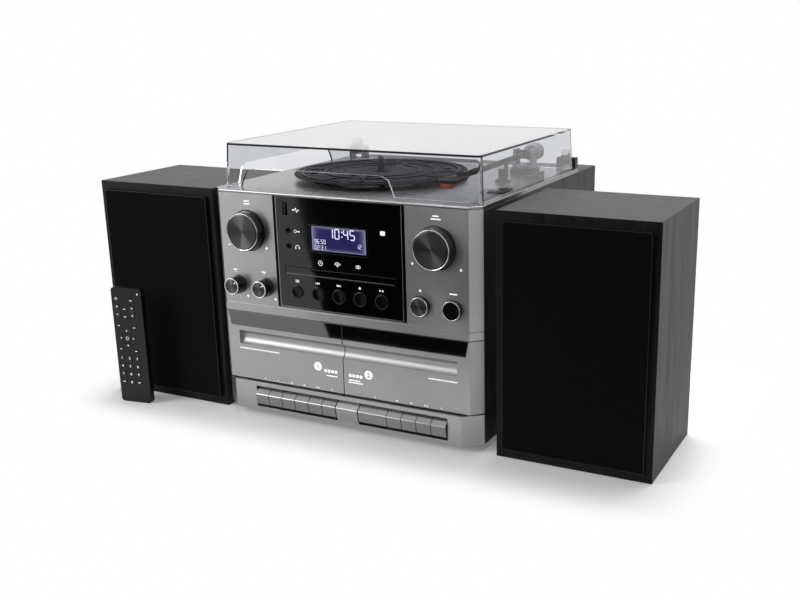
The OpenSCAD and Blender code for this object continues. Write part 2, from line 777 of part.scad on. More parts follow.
// Two cloth-covered grille frames
module speaker_grilles() {
    color([0.03, 0.03, 0.03]) in_set() both_speakers() {
        gw = speaker_w - 2 * grille_side;
        gh = speaker_h - grille_top - grille_low;
        difference() {
            face_plate(gw, gh, 3, -grille_t, 0, speaker_w / 2, grille_low + gh / 2);
            face_plate(gw - 20, gh - 20, 2, -grille_t + 1, 1, speaker_w / 2, grille_low + gh / 2);
        }
    }
}

// Drivers with frames, cones and magnets, and the terminal plates of both speakers
module speaker_fittings() {
    color([0.10, 0.10, 0.11]) in_set() both_speakers() {
        for (d = [[woofer_z, woofer_r], [tweeter_z, tweeter_r]]) translate([speaker_w / 2, 0, d[0]])
            rotate([-90, 0, 0]) {
            // Frame and cone in one turned shape, magnet behind
            rotate_extrude() polygon([
                [4, d[1] * 0.5], [d[1] - 6, 3], [d[1] - 4, 0.5],
                [d[1] - seat_gap, 0.5], [d[1] - seat_gap, 4],
                [d[1] - 3, 4], [d[1] * 0.45, d[1] * 0.62], [0, d[1] * 0.62], [0, d[1] * 0.5]
            ]);
            translate([0, 0, d[1] * 0.62]) cylinder(h = d[1] * 0.35, r = d[1] * 0.6);
        }
        difference() {
            union() {
                rod_y(speaker_d - 7, speaker_d, speaker_w / 2, 60, 20 - seat_gap);
                rod_y(speaker_d, speaker_d + 1.5, speaker_w / 2, 60, 24);
            }
            for (s = [-1, 1]) rod_y(speaker_d - 4, speaker_d + 2, speaker_w / 2 + s * 8, 60, 2.5);
        }
    }
}

// Puts a child drawn at the remote's lower left front corner at its place
module at_remote() { translate([remote_x, remote_y, 0]) rotate([0, 0, remote_yaw]) children(); }

// Remote control's shell with key holes and a pocket for the cell tray
module remote_shell() {
    color([0.09, 0.10, 0.12]) in_set() at_remote() difference() {
        face_plate(remote_w, remote_h, 4, 0, remote_t, remote_w / 2, remote_h / 2);
        for (k = remote_keys) face_plate(k[2] + 0.6, k[3] + 0.6, 1.2, -1, 1.5, k[0], k[1]);
        face_plate(keypad_w + 0.6, keypad_h + 0.6, 1.5, 1.2, 2.9, keypad_x, keypad_cz);
        translate([remote_w / 2 - tray_cell_w / 2 - 0.25, 3.2, -1])
            cube([tray_cell_w + 0.5, 3, tray_cell_l + 1.5]);
    }
}
// Keys of the remote: centre x, centre z, width, height
remote_keys = concat(
    [for (c = [0:2], r = [0:3]) [6.4 + c * 10, 24.4 + r * 9.7, 7, 5.6]],
    [[6.4, 124, 7, 5], [25.5, 122.6, 7, 4.4], [6.4, 110, 7, 15], [26, 109, 7, 15],
    [16, 112, 7, 6], [16, 103, 7, 6], [6.4, 92, 6, 4.6], [26.4, 90.6, 6, 4.6],
    [6.4, 64, 6, 4.6], [26.4, 62.6, 6, 4.6], [16.2, 77.5, 8, 8],
    [16.2, 86.6, 10, 4.4], [16.2, 68.6, 10, 4.4], [8, 77.5, 4.6, 8], [24.6, 77.5, 4.6, 8]]);

// Rubber keypad: one sheet with all its keys
module remote_keypad() {
    color([0.05, 0.05, 0.06]) in_set() at_remote() {
        face_plate(keypad_w, keypad_h, 1.2, 1.5, 2.6, keypad_x, keypad_cz);
        for (k = remote_keys) face_plate(k[2], k[3], 1, -0.4, 1.6, k[0], k[1]);
    }
}

// Tray that holds the remote's coin cell and pulls out at its lower end
module remote_battery_tray() {
    color([0.07, 0.07, 0.08]) in_set() at_remote() translate([remote_w / 2, 3.45, 0.4]) {
        difference() {
            translate([-tray_cell_w / 2, 0, 0]) cube([tray_cell_w, 2.5, tray_cell_l]);
            rod_y(-1, 2, 0, tray_cell_l / 2 + 0.5, 10.2);
        }
        rod_y(0.1, 1.9, 0, tray_cell_l / 2 + 0.5, 10);
    }
}

// Block with round upright corners that narrows towards its top
module draft_block(w, d, h, draft, r) {
    hull() {
        linear_extrude(eps) round_rect(w, d, r);
        translate([0, 0, h - eps]) linear_extrude(eps) round_rect(w - 2 * draft, d - 2 * draft, r);
    }
}

// Clear lid with openings in its front and left walls, and two hinge leaves behind it
module lid() {
    color([0.80, 0.82, 0.84, 0.5]) in_set() {
        difference() {
            translate([0, lid_y + lid_d / 2, lid_z]) difference() {
                draft_block(lid_w, lid_d, lid_h, lid_draft, 5, $fn = 32);
                translate([0, 0, -eps])
                    draft_block(lid_w - 2 * lid_wall, lid_d - 2 * lid_wall, lid_h - lid_wall, lid_draft, 3,
                        $fn = 32);
            }
            // Front opening, slanted at both ends
            translate([0, lid_y + 12, lid_z]) rotate([90, 0, 0]) linear_extrude(20) polygon([
                [-132.5, -1], [-130, 6], [-124, 17], [-113, 20.6],
                [42, 20.6], [50, 17], [55, 6], [57.8, -1]
            ]);
            // Left opening
            translate([-lid_w / 2 + 12, 0, lid_z]) rotate([90, 0, -90]) linear_extrude(20) polygon([
                [-232, -1], [-229, 6], [-222, 17], [-212, 20.8],
                [-54, 20.8], [-48, 17], [-44, 6], [-42, -1]
            ]);
        }
        for (s = [-1, 1]) translate([s * hinge_x, 0, 0]) difference() {
            union() {
                span([-5.6, lid_back + 0.3, hinge_z - 3], [5.6, hinge_y + 1, lid_z + 20]);
                rod_x(-5.6, 5.6, hinge_y, hinge_z, 4.2);
                translate([-5.6, lid_back + 0.3, lid_z + 12]) rotate([-atan(lid_draft / lid_h), 0, 0])
                    translate([0, -0.9, 0]) cube([11.2, 3, 8]);
            }
            rod_x(-7, 7, hinge_y, hinge_z, hinge_pin_r + run_gap);
        }
    }
}

// Platter with its drive ring, hub and spindle
module platter() {
    color([0.10, 0.10, 0.11]) in_set() {
        rod_z(platter_low, mat_low, spindle_x, spindle_y, platter_r);
        rod_z(mat_low, mat_top, spindle_x, spindle_y, boss_r);
        rod_z(body_h - well_depth + 1, platter_low, spindle_x, spindle_y, 7);
        rod_z(body_h - well_depth - deck_t - 18, mat_top + spindle_up - 2,
            spindle_x, spindle_y, spindle_r);
        translate([spindle_x, spindle_y, mat_top + spindle_up - 2])
            cylinder(h = 2, r1 = spindle_r, r2 = spindle_r - 1.4);
        translate([spindle_x, spindle_y, body_h - well_depth + 2]) difference() {
            cylinder(h = well_depth + platter_gap - 2, r = belt_r);
            translate([0, 0, -1]) cylinder(h = well_depth + platter_gap, r = belt_r - 3);
        }
    }
}

// Rubber mat with raised rings
module platter_mat() {
    color([0.06, 0.06, 0.065]) in_set() translate([spindle_x, spindle_y, mat_low]) difference() {
        cylinder(h = mat_t, r = platter_r - 2);
        translate([0, 0, -1]) cylinder(h = mat_t + 2, r = boss_r + 0.4);
        for (r = [52, 76, 92]) translate([0, 0, mat_t - 0.5]) difference() {
            cylinder(h = 1, r = r);
            translate([0, 0, -1]) cylinder(h = 3, r = r - 2);
        }
        for (a = [35, 125, 215, 305]) {
            rotate([0, 0, a]) translate([75.7, 0, mat_t - 0.6]) cylinder(h = 1, r = 4);
        }
    }
}

// Puts a child drawn at the pivot, with the arm along -Y, at the tonearm's pivot
module at_arm() { translate([arm_x, arm_y, arm_z]) rotate([0, 0, arm_turn]) children(); }

// Turret that turns on the base, with a post and a yoke
module tonearm_gimbal() {
    color([0.55, 0.56, 0.58]) in_set() at_arm() {
        top_base = -arm_up + base_h;
        rod_z(-arm_up - 10, top_base + 0.5, 0, 0, post_r);
        rod_z(top_base + 0.5, top_base + 4.5, 0, 0, 14);
        for (s = [-1, 1]) difference() {
            span([s * 10.2 - 1.8, -6, top_base + 4], [s * 10.2 + 1.8, 6, 6]);
            rod_x(-14, 14, 0, 0, gimbal_pin_r + run_gap);
        }
    }
}

// Arm tube with cross pin, counterweight and headshell
module tonearm() {
    color([0.12, 0.12, 0.13]) in_set() at_arm() {
        head_y = -arm_l + 27;
        rod_x(-11.8, 11.8, 0, 0, gimbal_pin_r);
        rod_x(-7.8, 7.8, 0, 0, 5);
        rotate([90 + atan(4 / arm_l), 0, 0]) cylinder(h = arm_l - 24, r = 3.6);
        rod_y(0, 18, 0, 0, 3);
        rod_y(16, weight_end, 0, 0, 10);
        span([-9, -arm_l - 8, -6.6], [9, head_y + 4, -2.6]);
        span([-5, -arm_l - 6, -7.6], [5, head_y - 4, -6.5]);
    }
}

// Cartridge body with the stylus under the headshell
module cartridge() {
    color([0.75, 0.12, 0.08]) in_set() at_arm() {
        span([-5.5, -arm_l - 9, -tip_drop + 1.2], [5.5, -arm_l + 12, -7.6]);
        translate([0, -arm_l, -tip_drop]) cylinder(h = 1.3, r1 = 0.3, r2 = 1.2);
    }
}

// Small lever that lifts the tonearm
module cue_lever() {
    color([0.20, 0.20, 0.21]) in_set() difference() {
        union() {
            rod_x(lever_x - 2.9, lever_x + 2.9, lever_y, body_h + 4, 2.6);
            span([lever_x - 1.8, lever_y - 30, body_h + 2.8], [lever_x + 1.8, lever_y, body_h + 5.2]);
            span([lever_x - 2.8, lever_y - 34, body_h + 2.8], [lever_x + 2.8, lever_y - 26, body_h + 6.2]);
        }
        rod_x(lever_x - 10, lever_x + 10, lever_y, body_h + 4, lever_pin_r + run_gap);
    }
}

// Slide switch for the platter's speed
module speed_switch() {
    color([0.16, 0.16, 0.17]) in_set() {
        span([switch_x - 3.4, switch_y - 7, body_h + 1.1], [switch_x + 3.4, switch_y - 1, body_h + 4]);
        span([switch_x - 1.8, switch_y - 6, body_h + 0.2], [switch_x + 1.8, switch_y - 2, body_h + 2]);
    }
}

// Encoder shaft that is pushed in against a switch, with its collar behind the front
module push_shaft(x) {
    rod_y(-knob_out + 3, 16, x, knob_z, 3);
    rod_y(front_wall + 1.5, front_wall + 4, x, knob_z, 8);
}

// Large knob that turns on its shaft
module large_knob(x) {
    difference() {
        union() {
            rod_y(-knob_out, -1.2, x, knob_z, knob_r);
            translate([x, -knob_out, knob_z]) rotate([90, 0, 0])
                cylinder(h = 0.6, r1 = knob_r - 1.4, r2 = knob_r - 2.4);
        }
        rod_y(-knob_out + 2.9, 0, x, knob_z, 3 + run_gap);
        rod_y(-4, 0, x, knob_z, knob_r - 4);
    }
}

// Small knob with its shaft and the collar that keeps it in the front
module small_knob(x) {
    rod_y(-small_out, -1.2, x, small_z, small_r);
    rod_y(-2, 14, x, small_z, 3);
    rod_y(front_wall + 0.4, front_wall + 3, x, small_z, 6);
    span([x - 0.8, -small_out - 0.7, small_z + 2], [x + 0.8, -small_out + 1, small_z + small_r - 1]);
}

// Push button with a round cap, a stem and a collar behind the front
module push_button(x, z, r, out, back) {
    rod_y(-out, back, x, z, r);
    rod_y(back, back + 7, x, z, r - 4);
}

module volume_shaft() { color([0.75, 0.72, 0.6]) in_set() push_shaft(-knob_x); }
module volume_knob() { color([0.15, 0.15, 0.16]) in_set() large_knob(-knob_x); }
module tuning_shaft() { color([0.75, 0.72, 0.6]) in_set() push_shaft(knob_x); }
module tuning_knob() { color([0.15, 0.15, 0.16]) in_set() large_knob(knob_x); }
module bass_knob() { color([0.13, 0.13, 0.14]) in_set() small_knob(-small_out_x); }
module treble_knob() { color([0.13, 0.13, 0.14]) in_set() small_knob(-small_in_x); }

// Side button at distance x from the middle
module side_button(x) {
    color([0.13, 0.13, 0.14]) in_set() push_button(x, small_z, small_r, side_button_out, 6);
}
module eject_button() { side_button(small_in_x); }
module source_button() { side_button(small_out_x); }

// Round button of the centre panel, counted from the middle one
module panel_button(i) {
    color([0.05, 0.05, 0.055]) in_set() push_button(i * button_pitch - 1.5, button_z, button_r, 1.2, 8);
}
module menu_button() { panel_button(-2); }
module previous_button() { panel_button(-1); }
module next_button() { panel_button(0); }
module stop_button() { panel_button(1); }
module play_button() { panel_button(2); }

// Disc tray: front, plate with the disc's recess, and rack edge
module cd_tray() {
    color([0.07, 0.07, 0.075]) in_set() {
        span([-tray_w / 2, -0.4, tray_z], [tray_w / 2, 3, tray_z + tray_h]);
        difference() {
            span([-tray_w / 2 + 1.5, 2.9, tray_z + 1], [tray_w / 2 - 1.5, 150, tray_z + 4.2]);
            rod_z(tray_z + 2.4, tray_z + 6, 0, drive_cy - 6, disc_r + 0.7);
            rod_z(tray_z, tray_z + 3, 0, drive_cy - 6, 18);
            span([-18, drive_cy - 6, tray_z], [18, 151, tray_z + 3]);
        }
    }
}

// Space of the door on side s
module door_half(s) {
    translate([s > 0 ? door_gap / 2 : -half_w - 1, -10, 0])
        cube([half_w + 1 - door_gap / 2, 70, door_top_z]);
}

// Door on side s: shell with the grip channel, window seat, pivot ears and cassette holder
module cassette_door(s) {
    color([0.55, 0.56, 0.58]) in_set() intersection() {
        door_half(s);
        difference() {
            union() {
                front_wall_band(door_z, door_top_z, 0, front_wall, side_y);
                intersection() {
                    rod_x(-grip_half - 2, grip_half + 2, grip_cy, grip_z + grip_h / 2, grip_r + 2.2);
                    span([-grip_half - 2, 1, door_z], [grip_half + 2, pocket_y, door_top_z]);
                }
                // Holder: two cheeks and a sill
                for (e = [-1, 1]) {
                    translate([s * pocket_x + e * (cassette_w + holder_wall) / 2, 0, pocket_z])
                        span([-holder_wall / 2, front_wall - 0.5, -holder_wall],
                            [holder_wall / 2, holder_y, holder_h]);
                    translate([s * pocket_x + e * (cassette_w / 2 - 2), 0, pocket_z])
                        span([-3, holder_y - 0.4, -holder_wall], [3, holder_y + 1.2, holder_h]);
                }
                translate([s * pocket_x, 0, pocket_z])
                    span([-cassette_w / 2 - holder_wall, front_wall - 0.5, -holder_wall],
                        [cassette_w / 2 + holder_wall, holder_y, 0]);
                // Pivot ears
                for (x = [s * ear_in, s * ear_out]) {
                    span([x - ear_t / 2, front_wall - 0.5, door_pin_z - ear_r],
                        [x + ear_t / 2, door_pin_y + ear_r, door_pin_z + ear_r]);
                }
            }
            rod_x(-grip_half, grip_half, grip_cy, grip_z + grip_h / 2, grip_r);
            // Seat of the window
            translate([0, window_t, 0]) rotate([90, 0, 0]) linear_extrude(window_t + 1) window_plan(0);
            for (x = [s * ear_in, s * ear_out]) {
                rod_x(x - 3, x + 3, door_pin_y, door_pin_z, door_pin_r + run_gap);
            }
            // Lower rear corner of the side return, cut so that it swings past the cabinet's edge
            translate([s * half_w, 0, 0])
                span([-cabinet_wall, side_y - 1.1, door_z - 1],
                    [cabinet_wall, side_y + 1, door_pin_z - 1]);
        }
    }
}

// Outline of the window band: wider at the top
module window_plan(inset) {
    polygon([
        [-half_w + window_side + inset, door_top_z - window_h + inset],
        [half_w - window_side - inset, door_top_z - window_h + inset],
        [half_w - window_side_top - inset, door_top_z + 1 - 2 * inset],
        [-half_w + window_side_top + inset, door_top_z + 1 - 2 * inset]
    ]);
}

// Glossy window of the door on side s
module door_window(s) {
    color([0.02, 0.02, 0.025]) in_set() intersection() {
        door_half(s);
        translate([0, window_t, 0]) rotate([90, 0, 0]) linear_extrude(window_t) window_plan(seat_gap);
    }
}
module left_cassette_door() { cassette_door(-1); }
module left_door_window() { door_window(-1); }
module right_cassette_door() { cassette_door(1); }
module right_door_window() { door_window(1); }

// Key of a cassette deck, from x0 over width w, with its arm to the pivot rod
module deck_key(x0, w) {
    color([0.62, 0.63, 0.65]) in_set() difference() {
        union() {
            along_x(x0 + key_gap / 2, w - key_gap) polygon(concat(key_front, [
                [key_back, key_z + key_h], [key_back, key_z + 2], [key_tuck + 1 - key_out, key_z]
            ]));
            span([x0 + w / 2 - 3.5, 6, key_pin_z - 3], [x0 + w / 2 + 3.5, key_pin_y + 3.4, key_pin_z + 3]);
        }
        rod_x(x0, x0 + w, key_pin_y, key_pin_z, key_pin_r + run_gap);
    }
}

// Keys of the left deck, counted from the left
module left_key(i) { deck_key(left_keys_x + i * key_pitch, key_pitch); }
module record_key() { left_key(0); }
module left_play_key() { left_key(1); }
module left_rewind_key() { left_key(2); }
module left_forward_key() { left_key(3); }
module left_stop_key() { left_key(4); }
module left_pause_key() { left_key(5); }

// Keys of the right deck: a wide play key, then ordinary ones
module right_key(i) { deck_key(right_keys_x + (i + 1) * key_pitch, key_pitch); }
module right_play_key() { deck_key(right_keys_x, 2 * key_pitch); }
module right_rewind_key() { right_key(1); }
module right_forward_key() { right_key(2); }
module right_stop_key() { right_key(3); }
module right_pause_key() { right_key(4); }

cabinet();
deck_plate();
front_frame();
centre_panel();
display_module();
front_sockets();
key_panel();
feet();
rear_panel();
rear_sockets();
main_board();
cd_drive();
tape_mechanism();
platter_motor();
tonearm_base();
lid_hinges();
cabinet_screws();
speaker_cabinets();
speaker_grilles();
speaker_fittings();
remote_shell();
remote_keypad();
remote_battery_tray();
lid();
platter();
platter_mat();
tonearm_gimbal();
tonearm();
cartridge();
cue_lever();
speed_switch();
volume_shaft();
volume_knob();
tuning_shaft();
tuning_knob();
bass_knob();
treble_knob();
eject_button();
source_button();
menu_button();
previous_button();
next_button();
stop_button();
play_button();
cd_tray();
left_cassette_door();
left_door_window();
right_cassette_door();
right_door_window();
record_key();
left_play_key();
left_rewind_key();
left_forward_key();
left_stop_key();
left_pause_key();
right_play_key();
right_rewind_key();
right_forward_key();
right_stop_key();
right_pause_key();
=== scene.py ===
"""Looks of a stereo music centre: main unit, two speakers and a remote control.

Sizes are millimetres in the main unit's own frame: x = 0 in its middle, y = 0 on the flat of its
front, +y to the rear, z = 0 on the floor. UnitFrame carries them into the set's frame in metres.
"""

from __future__ import annotations

import json
import logging
import math
from dataclasses import dataclass, field
from enum import Enum
from typing import Any, Iterable, Optional, Sequence, Union

import bmesh
import bpy
import numpy as np
from mathutils import Matrix, Vector

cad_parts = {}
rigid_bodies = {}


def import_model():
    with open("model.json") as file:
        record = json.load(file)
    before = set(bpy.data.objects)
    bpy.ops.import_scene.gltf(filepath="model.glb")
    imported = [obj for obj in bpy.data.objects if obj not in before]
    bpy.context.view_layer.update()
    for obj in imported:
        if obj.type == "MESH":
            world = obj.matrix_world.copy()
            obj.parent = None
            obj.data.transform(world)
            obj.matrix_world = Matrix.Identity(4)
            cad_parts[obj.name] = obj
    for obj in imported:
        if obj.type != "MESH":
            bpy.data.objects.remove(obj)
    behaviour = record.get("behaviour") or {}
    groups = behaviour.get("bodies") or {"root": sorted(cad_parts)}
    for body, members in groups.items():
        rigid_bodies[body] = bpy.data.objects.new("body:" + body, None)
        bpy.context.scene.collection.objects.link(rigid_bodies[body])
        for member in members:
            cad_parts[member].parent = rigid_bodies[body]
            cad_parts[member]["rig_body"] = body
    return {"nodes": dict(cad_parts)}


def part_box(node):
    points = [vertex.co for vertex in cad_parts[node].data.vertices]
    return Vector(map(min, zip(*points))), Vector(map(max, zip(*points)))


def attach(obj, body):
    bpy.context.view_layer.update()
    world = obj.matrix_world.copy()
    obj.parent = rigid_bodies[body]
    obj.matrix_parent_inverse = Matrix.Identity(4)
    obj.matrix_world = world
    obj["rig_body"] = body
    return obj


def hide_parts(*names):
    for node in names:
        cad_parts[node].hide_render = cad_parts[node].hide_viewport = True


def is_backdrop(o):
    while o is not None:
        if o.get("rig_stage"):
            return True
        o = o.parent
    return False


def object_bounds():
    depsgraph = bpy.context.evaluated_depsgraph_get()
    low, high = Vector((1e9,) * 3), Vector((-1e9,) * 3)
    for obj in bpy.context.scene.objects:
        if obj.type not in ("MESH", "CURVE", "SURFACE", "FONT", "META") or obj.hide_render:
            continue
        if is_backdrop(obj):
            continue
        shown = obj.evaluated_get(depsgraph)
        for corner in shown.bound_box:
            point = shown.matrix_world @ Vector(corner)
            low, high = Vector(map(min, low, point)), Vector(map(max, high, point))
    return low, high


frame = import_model()
LOG = logging.getLogger("music_centre")
MM = 0.001
ROOT = "main_unit"
WHITE = (1, 1, 1, 1)
Pair = tuple[float, float]
Triple = tuple[float, float, float]
Node = bpy.types.Node
Socket = bpy.types.NodeSocket


class UnitFrame:
    """Place of the main unit inside the set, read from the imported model."""

    def __init__(self) -> None:
        low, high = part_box("cabinet")
        self.origin = np.array([(low.x + high.x) / 2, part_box("centre_panel")[0].y, 0.0])

    def points(self, millimetres: np.ndarray) -> np.ndarray:
        """Carry points, or one point, from the unit's millimetres into the set's metres."""
        return np.asarray(millimetres, float) * MM + self.origin

    def box(self, node: str) -> tuple[np.ndarray, np.ndarray]:
        """Return a node's low and high corner in the unit's own millimetres."""
        low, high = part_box(node)
        return (np.array(low) - self.origin) / MM, (np.array(high) - self.origin) / MM


UNIT = UnitFrame()


class Wiring:
    """Short way to fill a node tree: makes nodes, sets their values and joins their sockets."""

    def __init__(self, tree: bpy.types.NodeTree) -> None:
        self.tree = tree

    def make(self, kind: str, feeds: Optional[dict] = None, **settings: Any) -> Node:
        """Add a shader node.

        Args:
            kind: Its type without the leading ShaderNode.
            feeds: What its inputs get, each a value or another node's output.
            settings: Its own attributes.

        Returns:
            The node.
        """
        node = self.tree.nodes.new(f"ShaderNode{kind}")
        for key, value in settings.items():
            setattr(node, key, value)
        self.feed(node, feeds or {})
        return node

    def feed(self, node: Node, feeds: dict) -> None:
        """Give inputs their values and join those that get another node's output."""
        for key, given in feeds.items():
            if isinstance(given, Socket):
                self.tree.links.new(given, node.inputs[key])
            else:
                node.inputs[key].default_value = given

    def __call__(self, kind: str, feeds: Optional[dict] = None, out: Union[int, str] = 0,
                 **settings: Any) -> Socket:
        """Add a node as make does and return one of its outputs."""
        return self.make(kind, feeds, **settings).outputs[out]

    def calc(self, operation: str, *terms: Any) -> Socket:
        """Add a Math node and return its result."""
        return self("Math", dict(enumerate(terms)), operation=operation)

    def ramp(self, value: Socket, ends: Pair, source: Pair = (0.0, 1.0),
             **settings: Any) -> Socket:
        """Carry a value from its source range to the range of ends."""
        return self("MapRange", {"Value": value, "From Min": source[0], "From Max": source[1],
                                 "To Min": ends[0], "To Max": ends[1]}, **settings)

    def colours(self, share: Socket, first: Any, second: Any) -> Socket:
        """Mix two colours."""
        return self("Mix", {0: share, 6: first, 7: second}, 2, data_type="RGBA")

    def centred(self, centre_mm: Triple) -> Socket:
        """Return the object's coordinates about a centre given in the unit's millimetres."""
        place = tuple(-UNIT.points(centre_mm))
        return self("Mapping", {0: self("TexCoord", out="Object"), "Location": place})

    def seen(self) -> Socket:
        """Return a mask that is 1 on camera, glossy and transmission rays."""
        rays = self.make("LightPath").outputs
        direct = self.calc("MAXIMUM", rays["Is Camera Ray"], rays["Is Glossy Ray"])
        return self.calc("MAXIMUM", direct, rays["Is Transmission Ray"])


def blank_material(label: str) -> tuple[bpy.types.Material, Wiring, Node]:
    """Make a material; return it with its wiring and its shader."""
    material = bpy.data.materials.new(label)
    material.use_nodes = True
    return material, Wiring(material.node_tree), material.node_tree.nodes["Principled BSDF"]


# Camera, lamps and floor


@dataclass(frozen=True)
class Viewpoint:
    """Camera solved from the photograph's straight edges, in the unit's millimetres and degrees."""

    place: Triple = (566.914, -872.981, 429.175)
    turn: float = 26.864
    tilt: float = 16.019
    roll: float = -0.892
    focal_px: float = 1035.018
    centre_px: Pair = (447.729, 310.246)
    image_px: tuple[int, int] = (800, 600)
    sensor_mm: float = 36.0

    def axes(self) -> Matrix:
        """Return the camera's rotation: columns right, up and back."""
        a, e, r = (math.radians(v) for v in (self.turn, self.tilt, self.roll))
        back = Vector((math.sin(a) * math.cos(e), -math.cos(a) * math.cos(e), math.sin(e)))
        right = Vector((0, 0, 1)).cross(back).normalized()
        up = back.cross(right)
        right_rolled = right * math.cos(r) + up * math.sin(r)
        up_rolled = up * math.cos(r) - right * math.sin(r)
        return Matrix((right_rolled, up_rolled, back)).transposed().to_4x4()

    def build(self) -> None:
        """Create the camera and make it the scene's camera."""
        data = bpy.data.cameras.new("view")
        data.sensor_width = self.sensor_mm
        data.lens = self.focal_px * self.sensor_mm / self.image_px[0]
        data.shift_x = (self.image_px[0] / 2 - self.centre_px[0]) / self.image_px[0]
        data.shift_y = (self.centre_px[1] - self.image_px[1] / 2) / self.image_px[0]
        data.clip_start, data.clip_end = 0.02, 50
        camera = bpy.data.objects.new("view", data)
        camera.matrix_world = Matrix.Translation(Vector(UNIT.points(self.place))) @ self.axes()
        bpy.context.scene.collection.objects.link(camera)
        bpy.context.scene.camera = camera


@dataclass
class Studio:
    """White room: world, soft boxes, a floor that keeps the shadow and a black card for reflections.

    Each lamp has its name, its place, aim and size in metres, and its power.
    """

    lamps: Sequence[tuple[str, Triple, Triple, Pair, float]] = (
        ("left_box", (-1.5, -1.5, 0.9), (-0.05, -0.1, 0.14), (0.9, 1.3), 22.0),
        ("top_box", (0.0, 0.6, 2.1), (0.0, -0.05, 0.1), (1.9, 1.3), 46.0),
        ("right_box", (2.1, -0.5, 1.1), (0.1, 0.0, 0.15), (1.0, 1.2), 1.0),
    )
    world_level: float = 0.29
    floor_size: float = 14.0
    floor_colour: float = 0.95
    floor_lift: float = 0.14
    floor_roughness: float = 0.9
    fade: Pair = (0.0, 0.06)
    card: tuple[Pair, ...] = ((-187, -255), (900, -255), (900, -5000), (-3736, -5000))
    card_z: float = 3.0
    card_colour: float = 0.012

    def build(self) -> None:
        """Create world, lamps, floor and card, and the plain view transform."""
        bpy.context.scene.view_settings.view_transform = "Standard"
        for lamp in self.lamps:
            self._lamp(*lamp)
        self._world()
        self._floor()
        self._card()

    @staticmethod
    def _lamp(name: str, place: Triple, aim: Triple, size: Pair, power: float) -> None:
        """Make one rectangular soft box."""
        data = bpy.data.lights.new(name, "AREA")
        data.shape = "RECTANGLE"
        data.size, data.size_y = size
        data.energy = power
        lamp = bpy.data.objects.new(name, data)
        lamp.rotation_euler = (Vector(place) - Vector(aim)).to_track_quat("Z", "Y").to_euler()
        lamp.location = place
        bpy.context.scene.collection.objects.link(lamp)

    @staticmethod
    def _plane(name: str, corners: Sequence) -> tuple[bpy.types.Object, Wiring, Node]:
        """Make a four-cornered plane without gloss; return it with its wiring and its shader."""
        mesh = bpy.data.meshes.new(name)
        mesh.from_pydata(corners, [], [(0, 1, 2, 3)])
        plane = bpy.data.objects.new(name, mesh)
        bpy.context.scene.collection.objects.link(plane)
        material, wire, shader = blank_material(name)
        wire.feed(shader, {"Specular IOR Level": 0.0})
        mesh.materials.append(material)
        return plane, wire, shader

    def _card(self) -> None:
        """Black card before the front right, seen in reflections alone, as in product photography."""
        corners = UNIT.points(np.array([(x, y, self.card_z) for x, y in self.card]))
        card, wire, shader = self._plane("black_card", corners.tolist())
        wire.feed(shader, {"Base Color": (*[self.card_colour] * 3, 1), "Roughness": 1.0})
        for ray in ("camera", "diffuse", "transmission", "shadow"):
            setattr(card, f"visible_{ray}", False)
        card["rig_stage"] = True

    def _world(self) -> None:
        """White where it is seen, plain level where it lights."""
        world = bpy.data.worlds.new("studio")
        bpy.context.scene.world = world
        world.use_nodes = True
        world.node_tree.nodes.clear()
        wire = Wiring(world.node_tree)
        plain, white = (wire("Background", {"Color": WHITE, "Strength": level})
                        for level in (self.world_level, 1.0))
        wire.make("OutputWorld", {0: wire("MixShader", {0: wire.seen(), 1: plain, 2: white})})

    def _floor(self) -> None:
        """Flat floor: diffuse with its shadow at the set, white some way off the set's own rectangle."""
        low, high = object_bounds()
        half = self.floor_size / 2
        floor, wire, shader = self._plane("floor", [(x * half, y * half, 0) for x, y in
                                                    ((-1, -1), (1, -1), (1, 1), (-1, 1))])
        centre = Vector(((low[0] + high[0]) / 2, (low[1] + high[1]) / 2, 0))
        away = wire("TexCoord", out="Object")
        for operation, value in (("SUBTRACT", centre), ("ABSOLUTE", None),
                                 ("SUBTRACT", Vector((high[0], high[1], 0)) - centre),
                                 ("MAXIMUM", Vector((0, 0, 0))), ("LENGTH", None)):
            feeds = {0: away} if value is None else {0: away, 1: tuple(value)}
            away = wire("VectorMath", feeds, "Value" if operation == "LENGTH" else "Vector",
                        operation=operation)
        lift, colour = (wire.ramp(away, ends, self.fade, interpolation_type="SMOOTHSTEP")
                        for ends in ((self.floor_lift, 1.0), (self.floor_colour, 0.0)))
        wire.feed(shader, {"Base Color": colour, "Roughness": self.floor_roughness, "Emission Color": WHITE,
                           "Emission Strength": wire.calc("MULTIPLY", wire.seen(), lift)})
        floor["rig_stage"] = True


# Finishes


class Pattern(Enum):
    """Surface pattern that a finish carries."""

    GRAIN = "grain"
    WOOD = "wood"
    WEAVE = "weave"


